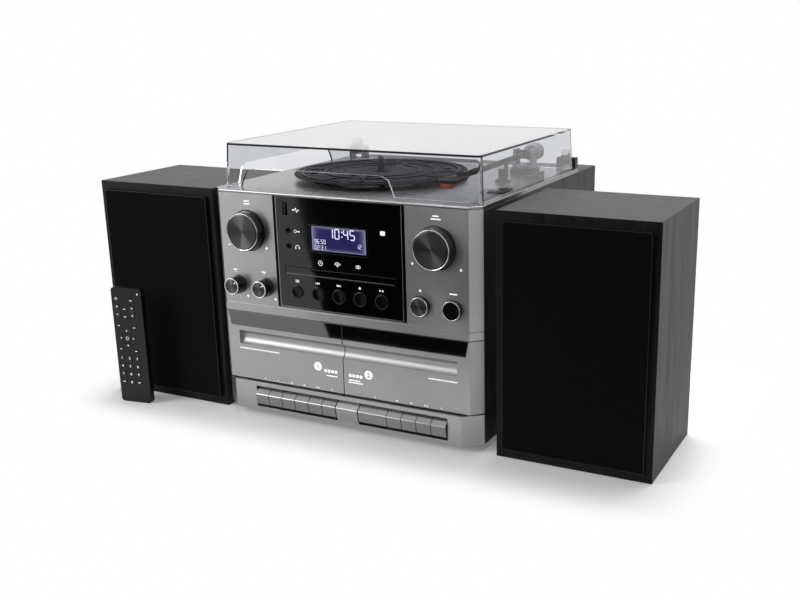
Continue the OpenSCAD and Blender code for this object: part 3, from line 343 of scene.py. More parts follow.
class Effects:
    """Node groups for grain, wood and cloth, each built once, with Scale in and Mask and Height out.

    The scales are those of the slow noises; a finish gives the scale of the fine ones.
    """

    cloud_scale = 18.0
    figure_scale = 55.0
    thread_scale = 60.0
    pore_stretch = 0.035
    figure_stretch = 0.06

    def __init__(self) -> None:
        self._groups: dict[Pattern, bpy.types.NodeTree] = {}

    def group(self, pattern: Pattern) -> bpy.types.NodeTree:
        """Return a pattern's node group."""
        if pattern not in self._groups:
            tree = bpy.data.node_groups.new(pattern.value, "ShaderNodeTree")
            for label, way in (("Scale", "INPUT"), ("Mask", "OUTPUT"), ("Height", "OUTPUT")):
                tree.interface.new_socket(label, in_out=way, socket_type="NodeSocketFloat")
            wire = Wiring(tree)
            scale = tree.nodes.new("NodeGroupInput").outputs["Scale"]
            fill = {Pattern.GRAIN: self._grain, Pattern.WOOD: self._wood, Pattern.WEAVE: self._weave}
            mask, height = fill[pattern](wire, scale)
            wire.feed(tree.nodes.new("NodeGroupOutput"), {"Mask": mask, "Height": height})
            self._groups[pattern] = tree
        return self._groups[pattern]

    @staticmethod
    def _noise(wire: Wiring, scale: Any, detail: float, stretch: Triple = (1, 1, 1),
               distortion: float = 0.0) -> Socket:
        """Add a noise over stretched object coordinates."""
        place = wire("Mapping", {0: wire("TexCoord", out="Object"), "Scale": stretch})
        return wire("TexNoise", {"Vector": place, "Scale": scale, "Detail": detail,
                                 "Distortion": distortion})

    def _grain(self, wire: Wiring, scale: Socket) -> tuple:
        """Fine moulded grain: a mask and a height from two noises of unlike size."""
        return self._noise(wire, self.cloud_scale, 3.0), self._noise(wire, scale, 2.0)

    def _wood(self, wire: Wiring, scale: Socket) -> tuple:
        """Black ash: long dark pores along the height or the depth, under a slow figure."""
        pores = self._noise(wire, scale, 4.0, (1, 1, self.pore_stretch))
        top = self._noise(wire, scale, 4.0, (1, self.pore_stretch, 1))
        normal = wire("NewGeometry", out="True Normal")
        upward = wire.calc("ABSOLUTE", wire("SeparateXYZ", {0: normal}, 2))
        figure = self._noise(wire, self.figure_scale, 3.0, (1, 1, self.figure_stretch), 0.6)
        return figure, wire("Mix", {0: upward, 2: pores, 3: top})

    def _weave(self, wire: Wiring, scale: Socket) -> tuple:
        """Plain weave: product of two sine waves across x and z, broken by a slow noise."""
        feeds = {"Vector": wire("TexCoord", out="Object"), "Scale": scale, "Distortion": 0.4}
        waves = [wire("TexWave", feeds, "Fac", bands_direction=way) for way in "XZ"]
        return self._noise(wire, self.thread_scale, 4.0), wire.calc("MULTIPLY", *waves)


EFFECTS = Effects()


@dataclass(frozen=True)
class Coating:
    """Something that a surface is covered with: a named material, made once."""

    name: str

    def material(self) -> bpy.types.Material:
        """Return the material."""
        label = f"{self.name}_finish"
        known = bpy.data.materials.get(label)
        if known:
            return known
        material, wire, shader = blank_material(label)
        self.fill(wire, shader)
        return material

    def fill(self, wire: Wiring, shader: Node) -> None:
        """Wire the shader."""
        raise NotImplementedError


@dataclass(frozen=True)
class Finish(Coating):
    """Opaque finish: two colours mixed by a slow mask, with its own fine relief.

    Colours are linear red, green and blue. spread is how far the roughness wanders.
    """

    colour: Triple
    second: Triple
    roughness: float = 0.4
    metallic: float = 0.0
    coat: float = 0.0
    pattern: Pattern = Pattern.GRAIN
    scale: float = 1500.0
    relief: float = 0.05
    depth_mm: float = 0.05
    spread: float = 0.08
    glow: float = 0.0
    specular: float = 0.5
    contrast: Pair = (0.3, 0.7)
    by_height: float = 0.0
    coat_roughness: float = 0.04

    def fill(self, wire: Wiring, shader: Node) -> None:
        """Wire colour, roughness and relief from the pattern's mask and height."""
        pattern = wire.make("Group", node_tree=EFFECTS.group(self.pattern))
        wire.feed(pattern, {"Scale": self.scale})
        height = pattern.outputs["Height"]
        blend = wire("Mix", {0: self.by_height, 2: pattern.outputs["Mask"], 3: height})
        mask = wire.ramp(blend, (0.0, 1.0), self.contrast)
        colour = wire.colours(mask, (*self.colour, 1), (*self.second, 1))
        ends = max(self.roughness - self.spread, 0.02), min(self.roughness + self.spread, 1.0)
        bump = wire("Bump", {"Strength": self.relief, "Distance": self.depth_mm * MM, "Height": height})
        wire.feed(shader, {"Base Color": colour, "Roughness": wire.ramp(mask, ends), "Normal": bump,
                           "Metallic": self.metallic, "Specular IOR Level": self.specular,
                           "Coat Weight": self.coat, "Coat Roughness": self.coat_roughness})
        if self.glow:
            wire.feed(shader, {"Emission Color": colour, "Emission Strength": self.glow})


@dataclass(frozen=True)
class SpunFinish(Finish):
    """Metal face turned on a lathe: anisotropic round the piece's own axis, with fine rings."""

    centre_mm: Triple = (0.0, 0.0, 0.0)
    anisotropy: float = 0.95
    ring_scale: float = 420.0

    def fill(self, wire: Wiring, shader: Node) -> None:
        """Spread the highlight outward from the axis, across the turned rings, and cut the rings."""
        super().fill(wire, shader)
        centre = wire.centred(self.centre_mm)
        rings = wire("TexWave", {"Vector": centre, "Scale": self.ring_scale, "Distortion": 0.3}, "Fac",
                     wave_type="RINGS", rings_direction="Y")
        wire.feed(shader, {"Anisotropic": self.anisotropy, "Tangent": centre})
        wire.feed(shader.inputs["Normal"].links[0].from_node, {"Height": rings})


@dataclass(frozen=True)
class ScreenFinish(Finish):
    """Lit screen: dark in the middle, paler towards its rim by a power of the distance."""

    centre_mm: Triple = (0.0, 0.0, 0.0)
    half_mm: Pair = (1.0, 1.0)
    rim: Triple = (0.20, 0.20, 0.32)
    power: float = 11.0

    def fill(self, wire: Wiring, shader: Node) -> None:
        """Blend the rim colour in by the larger share of the way to an edge."""
        super().fill(wire, shader)
        axes = wire.make("SeparateXYZ", {0: wire.centred(self.centre_mm)}).outputs
        shares = [wire.calc("DIVIDE", wire.calc("ABSOLUTE", axes[k]), half * MM)
                  for k, half in zip("XZ", self.half_mm)]
        rise = wire.calc("POWER", wire.calc("MAXIMUM", *shares), self.power)
        base = shader.inputs["Base Color"].links[0].from_socket
        colour = wire.colours(rise, base, (*self.rim, 1))
        wire.feed(shader, {"Base Color": colour, "Emission Color": colour})


@dataclass(frozen=True)
class ClearFinish(Coating):
    """Clear acrylic: transmission with shadows let through, faint dust in its roughness."""

    tint: Triple
    ior: float
    shadow: float
    roughness: float = 0.015
    dusty: float = 0.985
    dust_scale: float = 35.0

    def fill(self, wire: Wiring, shader: Node) -> None:
        """Wire tint and roughness from the dust, and let part of the light pass."""
        coords = wire("TexCoord", out="Object")
        dust = wire("TexNoise", {"Vector": coords, "Scale": self.dust_scale, "Detail": 5.0})
        tint = wire.colours(dust, (*self.tint, 1), (*(self.dusty * v for v in self.tint), 1))
        see = wire.ramp(wire("LightPath", out="Is Shadow Ray"), (1.0, self.shadow))
        wire.feed(shader, {"Transmission Weight": 1.0, "IOR": self.ior, "Base Color": tint,
                           "Roughness": wire.ramp(dust, (0.0, 2 * self.roughness)), "Alpha": see})


# The object's own finishes


class Look(Enum):
    """Finishes of the music centre, by part."""

    FASCIA = Finish("fascia_grey", (0.36, 0.36, 0.368), (0.39, 0.39, 0.399), 0.33, 0.9, scale=2600.0,
                    relief=0.06, spread=0.03)
    # Paler grey metal for painted highlights: the deck's rounded edges, the panel's edges and the tray's lip
    EDGE_HIGHLIGHT = Finish("painted_highlight_grey", (0.30, 0.30, 0.307), (0.34, 0.34, 0.346), 0.28, 0.9, scale=2600.0,
                  relief=0.05, spread=0.03)
    DECK = Finish("deck_silver", (0.21, 0.21, 0.215), (0.23, 0.23, 0.235), 0.27, 0.9, scale=2400.0,
                  relief=0.03, spread=0.012)
    DOOR = Finish("door_grey", (0.345, 0.345, 0.353), (0.375, 0.375, 0.384), 0.42, 0.9, scale=2600.0,
                  relief=0.06, spread=0.03)
    KEY = Finish("key_silver", (0.27, 0.27, 0.275), (0.31, 0.31, 0.316), 0.24, 0.9, scale=2400.0,
                 relief=0.05, spread=0.04)
    GLOSS = Finish("gloss_black", (0.0010, 0.0010, 0.0012), (0.0014, 0.0014, 0.0016), 0.06, relief=0.01,
                   spread=0.02, specular=0.5)
    WINDOW = Finish("window_black", (0.0010, 0.0010, 0.0012), (0.0014, 0.0014, 0.0016), 0.05, coat=1.0,
                    relief=0.01, spread=0.02, specular=1.0)
    WOOD = Finish("black_ash", (0.008, 0.008, 0.0083), (0.044, 0.044, 0.045), 0.5, pattern=Pattern.WOOD,
                  scale=420.0, relief=0.55, depth_mm=0.25, spread=0.10, by_height=0.6,
                  contrast=(0.36, 0.66), specular=0.25)
    # Darker, less glossy copy of the black ash for the faces that look to the front: painted shade
    WOOD_SHADED_FRONT = Finish("black_ash_shaded_front", (0.003, 0.003, 0.0032), (0.016, 0.016, 0.0165), 0.5,
                        pattern=Pattern.WOOD, scale=420.0, relief=0.45, depth_mm=0.25, spread=0.10,
                        by_height=0.6, contrast=(0.36, 0.66), specular=0.12)
    DARK = Finish("dark_plastic", (0.008, 0.008, 0.0085), (0.012, 0.012, 0.0125), 0.42, scale=1800.0,
                  relief=0.15, spread=0.06, specular=0.3)
    KNOB_SIDE = Finish("knob_gloss", (0.003, 0.003, 0.0032), (0.005, 0.005, 0.0053), 0.14, relief=0.03,
                       spread=0.03, specular=0.35)
    BUTTON = Finish("button_gloss", (0.002, 0.002, 0.0022), (0.004, 0.004, 0.0043), 0.16, relief=0.03,
                    spread=0.03, specular=0.2)
    # Painted glint: whitish glowing finish on the lid's rounded edges, standing in for the light that they
    # catch
    PAINTED_EDGE_GLINT = Finish("acrylic_painted_glint", (0.80, 0.81, 0.84), (0.86, 0.87, 0.90), 0.2, relief=0.02, spread=0.05,
                      glow=0.7)
    CHROME = Finish("bright_ring", (0.72, 0.72, 0.74), (0.80, 0.80, 0.82), 0.14, 1.0, relief=0.02,
                    spread=0.04)
    DARK_RING = Finish("dark_ring", (0.05, 0.05, 0.053), (0.075, 0.075, 0.078), 0.22, 1.0, relief=0.02,
                       spread=0.04)
    SOCKET = Finish("socket_steel", (0.48, 0.48, 0.50), (0.58, 0.58, 0.60), 0.28, 1.0, relief=0.05,
                    spread=0.06)
    BRASS = Finish("shaft_brass", (0.58, 0.45, 0.20), (0.66, 0.52, 0.25), 0.28, 1.0, relief=0.05)
    # White print with a painted glow: its emission makes the marks brighter than the lamps alone light them
    PRINT_PAINTED_GLOW = Finish("white_ink_painted_glow", (0.84, 0.84, 0.85), (0.88, 0.88, 0.89), 0.5, scale=3000.0, relief=0.05,
                 glow=0.8)
    RUBBER = Finish("foot_rubber", (0.010, 0.010, 0.010), (0.016, 0.016, 0.016), 0.8, scale=1300.0,
                    relief=0.35, specular=0.2)
    MAT = Finish("mat_rubber", (0.022, 0.022, 0.025), (0.030, 0.030, 0.034), 0.6,
                 relief=0.12, specular=0.02)
    PLATTER = Finish("platter_black", (0.0015, 0.0015, 0.0018), (0.003, 0.003, 0.0035), 0.3,
                     relief=0.05, specular=0.03)
    ARM = Finish("arm_black", (0.0015, 0.0015, 0.0018), (0.003, 0.003, 0.0034), 0.3, relief=0.04,
                 spread=0.04, specular=0.05)
    STEEL = Finish("dull_steel", (0.20, 0.20, 0.21), (0.27, 0.27, 0.28), 0.36, 1.0, scale=1200.0,
                   relief=0.12)
    RED = Finish("cartridge_red", (0.25, 0.018, 0.008), (0.32, 0.026, 0.012), 0.3, relief=0.05,
                 specular=0.3)
    CLOTH = Finish("grille_cloth", (0.0012, 0.0012, 0.0013), (0.0036, 0.0036, 0.0039), 0.9,
                   pattern=Pattern.WEAVE, scale=340.0, relief=0.8, depth_mm=0.3, spread=0.05,
                   by_height=0.4, contrast=(0.2, 0.75), specular=0.08)
    CONE = Finish("paper_cone", (0.020, 0.020, 0.021), (0.034, 0.034, 0.035), 0.75, scale=900.0,
                  relief=0.4)
    BOARD = Finish("board_green", (0.018, 0.09, 0.035), (0.028, 0.13, 0.05), 0.45, scale=900.0, relief=0.1)
    REMOTE = Finish("remote_black", (0.004, 0.005, 0.007), (0.007, 0.008, 0.011), 0.36, scale=1700.0,
                    relief=0.10, spread=0.05, specular=0.3)
    REMOTE_KEY = Finish("remote_key", (0.016, 0.018, 0.022), (0.026, 0.028, 0.033), 0.55,
                        relief=0.15, specular=0.3)
    DIGIT = Finish("digit_white", (0.62, 0.64, 0.85), (0.72, 0.74, 0.95), 0.4, relief=0.01, glow=0.8)
    SCREW = Finish("screw_black", (0.025, 0.025, 0.027), (0.05, 0.05, 0.055), 0.35, 0.8, relief=0.1)

    def material(self) -> bpy.types.Material:
        """Return this finish as a Blender material."""
        return self.value.material()


ACRYLIC = ClearFinish("clear_acrylic", (0.78, 0.79, 0.81), 1.36, 0.30)
Surface = Union[Look, Coating]


# Mesh building with arrays


@dataclass
class Shape:
    """Points in the unit's millimetres, and faces as rows of point numbers."""

    points: np.ndarray
    faces: list[list[int]]

    def moved(self, x: float = 0.0, y: float = 0.0, z: float = 0.0) -> "Shape":
        """Return a copy shifted by the given millimetres."""
        return Shape(self.points + np.array([x, y, z]), self.faces)

    def turned(self, axis: str, degrees: float) -> "Shape":
        """Return a copy turned about x, y or z."""
        c, s = math.cos(math.radians(degrees)), math.sin(math.radians(degrees))
        table = {"x": [[1, 0, 0], [0, c, -s], [0, s, c]],
                 "y": [[c, 0, s], [0, 1, 0], [-s, 0, c]],
                 "z": [[c, -s, 0], [s, c, 0], [0, 0, 1]]}
        return Shape(self.points @ np.array(table[axis], float).T, self.faces)

    def facing(self, x: float, y: float, z: float) -> "Shape":
        """Turn a shape built along z so that its top faces the front and its own y points up; move it."""
        return self.turned("x", 90.0).moved(x, y, z)


def joined(shapes: Iterable[Shape]) -> Shape:
    """Join many shapes into one."""
    parts = list(shapes)
    shifts = np.cumsum([0] + [len(p.points) for p in parts[:-1]])
    faces = [[i + int(s) for i in face] for p, s in zip(parts, shifts) for face in p.faces]
    return Shape(np.vstack([p.points for p in parts]), faces)


def quads(rows: int, columns: int) -> list[list[int]]:
    """Faces of a grid of points stored row by row, with the last column joined to the first."""
    r, c = np.meshgrid(np.arange(rows - 1), np.arange(columns), indexing="ij")
    nxt = (c + 1) % columns
    cells = np.stack([r * columns + c, r * columns + nxt, (r + 1) * columns + nxt, (r + 1) * columns + c], -1)
    return cells.reshape(-1, 4).tolist()


def tube(grid: np.ndarray) -> Shape:
    """Shape from rows of closed rings, shut by a face on the first and the last one.

    Args:
        grid: Array of shape (rows, points in a ring, 3).
    """
    rows, n = grid.shape[:2]
    ends = [list(range(n))[::-1], list(range((rows - 1) * n, rows * n))]
    return Shape(grid.reshape(-1, 3), quads(rows, n) + ends)


def rounded(profile: Sequence[Triple], steps: int = 5) -> list[Pair]:
    """Round the corners of an open profile.

    Each corner of radius q is replaced by points of a quadratic curve from q before it to q after
    it: (1-t)^2 A + 2t(1-t) B + t^2 C.

    Args:
        profile: Two coordinates and the corner's radius.
        steps: Spans in a rounded corner.
    """
    out: list[Pair] = []
    p = np.asarray(profile, float)
    for i, (x, y, q) in enumerate(p):
        if q <= 0 or i in (0, len(p) - 1):
            out.append((x, y))
            continue
        here = p[i, :2]
        a, c = (here + (end - here) * min(q / np.linalg.norm(end - here), 0.5)
                for end in (p[i - 1, :2], p[i + 1, :2]))
        t = np.linspace(0, 1, steps + 1)[:, None]
        out.extend(map(tuple, (1 - t) ** 2 * a + 2 * t * (1 - t) * here + t**2 * c))
    return out


def lathe(profile: Sequence, steps: int, spans: int = 5) -> Shape:
    """Turn a profile about z.

    A point at radius r and height h becomes (r cos a, r sin a, h) for every angle a. Points on the
    axis fall together and are merged when the piece is made.

    Args:
        profile: Radius and height pairs, or triples with the corner's radius, from end to end.
        steps: Angles in a full turn.
        spans: Spans in a rounded corner.
    """
    line = np.asarray(rounded(profile, spans) if len(profile[0]) == 3 else profile, float)
    a = np.linspace(0, 2 * math.pi, steps, endpoint=False)
    grid = np.empty((len(line), steps, 3))
    grid[:, :, 0] = line[:, :1] * np.cos(a)
    grid[:, :, 1] = line[:, :1] * np.sin(a)
    grid[:, :, 2] = line[:, 1:]
    return Shape(grid.reshape(-1, 3), quads(len(line), steps))


def round_rect(w: float, h: float, r: float, steps: int = 6) -> np.ndarray:
    """Outline of a rectangle with round corners, anticlockwise about the origin."""
    a = np.linspace(0, math.pi / 2, steps + 1)
    arcs = []
    for k, (sx, sy) in enumerate(((1, 1), (-1, 1), (-1, -1), (1, -1))):
        angle = a + k * math.pi / 2
        centre = np.array([sx * (w / 2 - r), sy * (h / 2 - r)])
        arcs.append(centre + r * np.stack([np.cos(angle), np.sin(angle)], -1))
    return np.vstack(arcs)


def circle(r: float, steps: int) -> np.ndarray:
    """Outline of a circle, anticlockwise."""
    a = np.linspace(0, 2 * math.pi, steps, endpoint=False)
    return r * np.stack([np.cos(a), np.sin(a)], -1)


def inset(outline: np.ndarray, distance: float) -> np.ndarray:
    """Move each point of a closed anticlockwise outline inwards along its two sides' mitre."""
    before = outline - np.roll(outline, 1, 0)
    after = np.roll(outline, -1, 0) - outline
    n1, n2 = (np.stack([-v[:, 1], v[:, 0]], -1) / np.linalg.norm(v, axis=1, keepdims=True)
              for v in (before, after))
    mitre = n1 + n2
    mitre /= np.maximum((mitre * n1).sum(1, keepdims=True), 1e-6)
    return outline + distance * mitre


def slab(outline: np.ndarray, low: float, high: float, bevel: float = 0.0, low_bevel: float = 0.0) -> Shape:
    """Plate of one outline between two heights along z, with quarter-round edges.

    The rings of a rounded edge of radius q lie at inset q(1 - sin a) and height high - q(1 - cos a)
    for a from a right angle down to zero; those of the lower edge mirror them.
    """
    a = np.linspace(0, math.pi / 2, 4)
    rings = [(0.0, low)]
    if low_bevel:
        rings = list(zip(low_bevel * (1 - np.sin(a)), low + low_bevel * (1 - np.cos(a))))
    if bevel:
        rings += list(zip(bevel * (1 - np.sin(a[::-1])), high - bevel * (1 - np.cos(a[::-1]))))
    else:
        rings.append((0.0, high))
    return tube(np.stack([np.column_stack([inset(outline, d) if d else outline, np.full(len(outline), z)])
                          for d, z in rings]))


def sweep(path: np.ndarray, section: np.ndarray) -> Shape:
    """Carry a closed section along a path and close both ends.

    At every point the frame is tangent t, side s = t x z and rise r = s x t; a section point
    (a, b) lands on path + a s + b r.
    """
    tangent = np.gradient(path, axis=0)
    tangent /= np.linalg.norm(tangent, axis=1, keepdims=True)
    side = np.cross(tangent, (0.0, 0.0, 1.0))
    side /= np.linalg.norm(side, axis=1, keepdims=True)
    rise = np.cross(side, tangent)
    return tube(path[:, None] + section[None, :, :1] * side[:, None] + section[None, :, 1:] * rise[:, None])


# Making pieces


class Workshop:
    """Turns shapes and CAD nodes into finished pieces and keeps their names.

    Points nearer than weld and edges shorter than sliver, in metres, are merged. Faces of a node that
    fold less than flat degrees are one face, and edges that fold more than fold degrees are rounded.
    """

    weld: float = 2e-6
    sliver: float = 1e-7
    flat: float = 1.0
    fold: float = 28.0
    ahead: float = -0.9

    def __init__(self) -> None:
        self.made: list[str] = []

    def piece(self, name: str, shape: Shape, look: Surface, body: str = ROOT, nodes: Sequence[str] = (),
              slot: str = "", sharp: float = 32.0) -> bpy.types.Object:
        """Make a piece from a shape in the unit's millimetres.

        Args:
            name: Name of the piece.
            shape: Its points and faces.
            look: Its finish.
            body: Body it rides on.
            nodes: CAD nodes that it stands for.
            slot: Material slot of the record; not used.
            sharp: Edges folded more than this many degrees stay crisp.

        Returns:
            The object, at the origin.
        """
        mesh = bpy.data.meshes.new(name)
        mesh.from_pydata(UNIT.points(shape.points).tolist(), [], shape.faces)
        work = bmesh.new()
        work.from_mesh(mesh)
        bmesh.ops.remove_doubles(work, verts=work.verts, dist=self.weld)
        bmesh.ops.dissolve_degenerate(work, edges=work.edges, dist=self.sliver)
        bmesh.ops.recalc_face_normals(work, faces=work.faces)
        work.to_mesh(mesh)
        work.free()
        return self._register(mesh, look, body, nodes, slot, sharp)

    def _register(self, mesh: bpy.types.Mesh, look: Surface, body: str, nodes: Sequence[str], slot: str,
                  sharp: float) -> bpy.types.Object:
        """Shade, dress and link a mesh, and register it as a piece of the mesh's name."""
        mesh.polygons.foreach_set("use_smooth", [True] * len(mesh.polygons))
        mesh.set_sharp_from_angle(angle=math.radians(sharp))
        mesh.materials.clear()
        mesh.materials.append(look.material())
        item = bpy.data.objects.new(mesh.name, mesh)
        bpy.context.scene.collection.objects.link(item)
        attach(item, body)
        if nodes:
            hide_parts(*nodes)
        self.made.append(item.name)
        return item

    def softened(self, node: str, look: Surface, width: float, slot: str, steps: int = 2,
                 rim: Optional[Look] = None, front: Optional[Look] = None, split: bool = False,
                 rim_below: float = math.inf) -> None:
        """Copy a CAD node with its loose triangles merged and its sharp edges rounded.

        The piece rides on the node's own body and stands for the node.

        Args:
            node: CAD node to copy.
            look: Its finish.
            width: Width of the rounding in millimetres.
            slot: Material slot of the record; not used.
            steps: Segments of the rounding.
            rim: Finish of the rounded edges, when it differs.
            front: Finish of the faces that look to the front, when it differs.
            split: Whether hollow-sided faces are split into bulging ones first.
            rim_below: Height in millimetres over which rounded edges keep the main finish.
        """
        source = frame["nodes"][node]
        work = bmesh.new()
        work.from_mesh(source.data)
        bmesh.ops.remove_doubles(work, verts=work.verts, dist=self.weld)
        bmesh.ops.dissolve_limit(work, angle_limit=math.radians(self.flat), verts=work.verts,
                                 edges=work.edges)
        if split:
            bmesh.ops.connect_verts_concave(work, faces=work.faces[:])
        edges = [e for e in work.edges if len(e.link_faces) == 2
                 and e.calc_face_angle(0.0) > math.radians(self.fold)]
        bmesh.ops.bevel(work, geom=edges, offset=width * MM, offset_type="OFFSET", segments=steps,
                        profile=0.5, affect="EDGES", clamp_overlap=True, material=1 if rim else -1)
        bmesh.ops.remove_doubles(work, verts=work.verts, dist=self.weld / 2)
        bmesh.ops.dissolve_degenerate(work, edges=work.edges, dist=self.sliver)
        bmesh.ops.triangulate(work, faces=[f for f in work.faces if len(f.verts) > 4])
        for face in work.faces:
            if front:
                face.material_index = int(face.normal.y < self.ahead)
            elif face.calc_center_median().z > rim_below * MM:
                face.material_index = 0
        mesh = bpy.data.meshes.new(f"{node}_finished")
        work.to_mesh(mesh)
        work.free()
        kinds = np.empty(len(mesh.polygons), np.int32)
        mesh.polygons.foreach_get("material_index", kinds)
        item = self._register(mesh, look, source["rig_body"], (node,), slot, 40.0)
        item.modifiers.new("even_normals", "WEIGHTED_NORMAL").keep_sharp = True
        second = rim or front
        if second:
            mesh.materials.append(second.material())
            mesh.polygons.foreach_set("material_index", kinds)

    def dress(self, node: str, look: Look) -> None:
        """Give a CAD node that stays its finish."""
        materials = frame["nodes"][node].data.materials
        materials.clear()
        materials.append(look.material())


SHOP = Workshop()


# Printed marks: thin raised shapes on the flat of the front

# Lit segments of the numerals 0 to 9: a top, b and c right, d bottom, e and f left, g middle
SEGMENTS = ("abcdef", "bc", "abged", "abgcd", "fgbc", "afgcd", "afgecd", "abc", "abcdefg", "abcdfg")


@dataclass
class Marks:
    """Collects flat outlines at places of the front and makes them one printed piece.

    Every mark has its place across and up as x and z, and lies at depth y.
    """

    thickness: float = 0.05
    y: float = 0.0
    shapes: list[Shape] = field(default_factory=list)

    def add(self, outline: np.ndarray, x: float, z: float, degrees: float = 0.0) -> None:
        """Add one outline, turned by degrees in its own plane."""
        flat = slab(outline, 0.0, self.thickness)
        self.shapes.append(flat.turned("z", degrees).facing(x, self.y, z))

    def bars(self, *rows: Sequence[float]) -> None:
        """Add bars: x, z, width and height of each, and its turn in degrees where it has one."""
        for x, z, w, h, *degrees in rows:
            self.add(round_rect(w, h, min(w, h) * 0.25, 2), x, z, *degrees)

    def arrows(self, *rows: Sequence[float]) -> None:
        """Add triangles that point to +x before their turn: x, z, size and turn in degrees of each."""
        for x, z, size, *degrees in rows:
            corners = np.array([[size / 2, 0], [-size / 2, size / 2], [-size / 2, -size / 2]])
            self.add(corners, x, z, *degrees)

    def dots(self, *rows: Sequence[float], steps: int = 20) -> None:
        """Add discs: x, z and radius of each."""
        for x, z, r in rows:
            self.add(circle(r, steps), x, z)

    def ring(self, x: float, z: float, r: float, w: float, start: float = 0.0, end: float = 360.0) -> None:
        """Add a ring or an arc of middle radius r and line width w."""
        a = np.radians(np.linspace(start, end, 25))
        way = np.stack([np.cos(a), np.sin(a)], -1)
        n = len(a)
        points = np.vstack([way * (r + w / 2), way * (r - w / 2)])
        levels = [np.column_stack([points, np.full(2 * n, h)]) for h in (self.thickness, 0.0)]
        i = np.arange(n - 1)
        up = np.stack([i, i + 1, i + 1 + n, i + n], -1)
        rim = np.stack([i, i + 2 * n, i + 1 + 2 * n, i + 1], -1)
        bore = np.stack([i + n, i + 1 + n, i + 1 + 3 * n, i + 3 * n], -1)
        faces = np.vstack([up, up[:, ::-1] + 2 * n, rim, bore]).tolist()
        if end - start < 360:
            faces += [[0, n, 3 * n, 2 * n], [n - 1, 3 * n - 1, 4 * n - 1, 2 * n - 1]]
        self.shapes.append(Shape(np.vstack(levels), faces).facing(x, self.y, z))

    def counter(self, words: str, x: float, z: float, height: float) -> None:
        """Add numerals built of seven segments each, with dots and colons between them.

        Args:
            words: Numerals, dots and colons.
            x: Left edge.
            z: Height of the middle.
            height: Height of a numeral.
        """
        half, wide, line = height / 2, height * 0.5, height * 0.12
        places = {"a": (0, half), "g": (0, 0), "d": (0, -half), "f": (-wide / 2, half / 2),
                  "b": (wide / 2, half / 2), "e": (-wide / 2, -half / 2), "c": (wide / 2, -half / 2)}
        for sign in words:
            if sign in ".:":
                for dz in {".": (-half,), ":": (-half / 2, half / 2)}[sign]:
                    self.bars((x + line * 0.6, z + dz, line * 1.2, line * 1.2))
                x += line * 2.4
                continue
            for key in SEGMENTS[int(sign)]:
                dx, dz = places[key]
                size = (wide * 0.9, line) if key in "agd" else (line, half * 0.9)
                self.bars((x + wide / 2 + dx, z + dz, *size))
            x += wide + line * 2.4

    def text(self, words: str, x: float, z: float, height: float, thick: float = 0.0) -> None:
        """Add plain numerals, centred on x and z, as filled outlines grown by thick."""
        curve = bpy.data.curves.new("numeral", "FONT")
        curve.body = words
        curve.size = height / 0.72
        curve.offset = thick
        curve.extrude = self.thickness / 2
        curve.resolution_u = 4
        curve.align_x, curve.align_y = "CENTER", "CENTER"
        holder = bpy.data.objects.new("numeral", curve)
        bpy.context.scene.collection.objects.link(holder)
        bpy.context.view_layer.update()
        mesh = bpy.data.meshes.new_from_object(holder.evaluated_get(bpy.context.evaluated_depsgraph_get()))
        points = np.array([v.co[:] for v in mesh.vertices])
        points[:, :2] -= (points[:, :2].min(0) + points[:, :2].max(0)) / 2
        points[:, 2] += self.thickness / 2
        faces = [list(p.vertices) for p in mesh.polygons]
        bpy.data.objects.remove(holder)
        bpy.data.curves.remove(curve)
        bpy.data.meshes.remove(mesh)
        self.shapes.append(Shape(points, faces).facing(x, self.y, z))

    def make(self, name: str, look: Look = Look.PRINT_PAINTED_GLOW, body: str = ROOT, slot: str = "") -> None:
        """Make all collected marks one piece."""
        SHOP.piece(name, joined(self.shapes), look, body, slot=slot, sharp=20.0)


# Main unit


class Carcass:
    """Wood-grain cabinet, silver deck, moulded front frame, rear panel and the inner assemblies."""

    def build(self) -> None:
        """Make the large solids of the main unit and dress the hidden ones."""
        SHOP.softened("cabinet", Look.WOOD, 0.5, "wood_grain")
        # The deck's rounded edges take the paler metal: a painted highlight along them
        SHOP.softened("deck_plate", Look.DECK, 1.2, "deck_silver", 3, rim=Look.EDGE_HIGHLIGHT)
        SHOP.softened("front_frame", Look.FASCIA, 0.55, "front_grey")
        SHOP.softened("key_panel", Look.FASCIA, 0.5, "front_grey", split=True)
        SHOP.softened("rear_panel", Look.DARK, 0.4, "dark_plastic")
        SHOP.softened("lid_hinges", Look.DARK, 0.6, "dark_plastic")
        for node, look in (("feet", Look.RUBBER), ("rear_sockets", Look.SOCKET), ("main_board", Look.BOARD),
                           ("cd_drive", Look.STEEL), ("tape_mechanism", Look.STEEL),
                           ("platter_motor", Look.STEEL), ("cabinet_screws", Look.SCREW)):
            SHOP.dress(node, look)


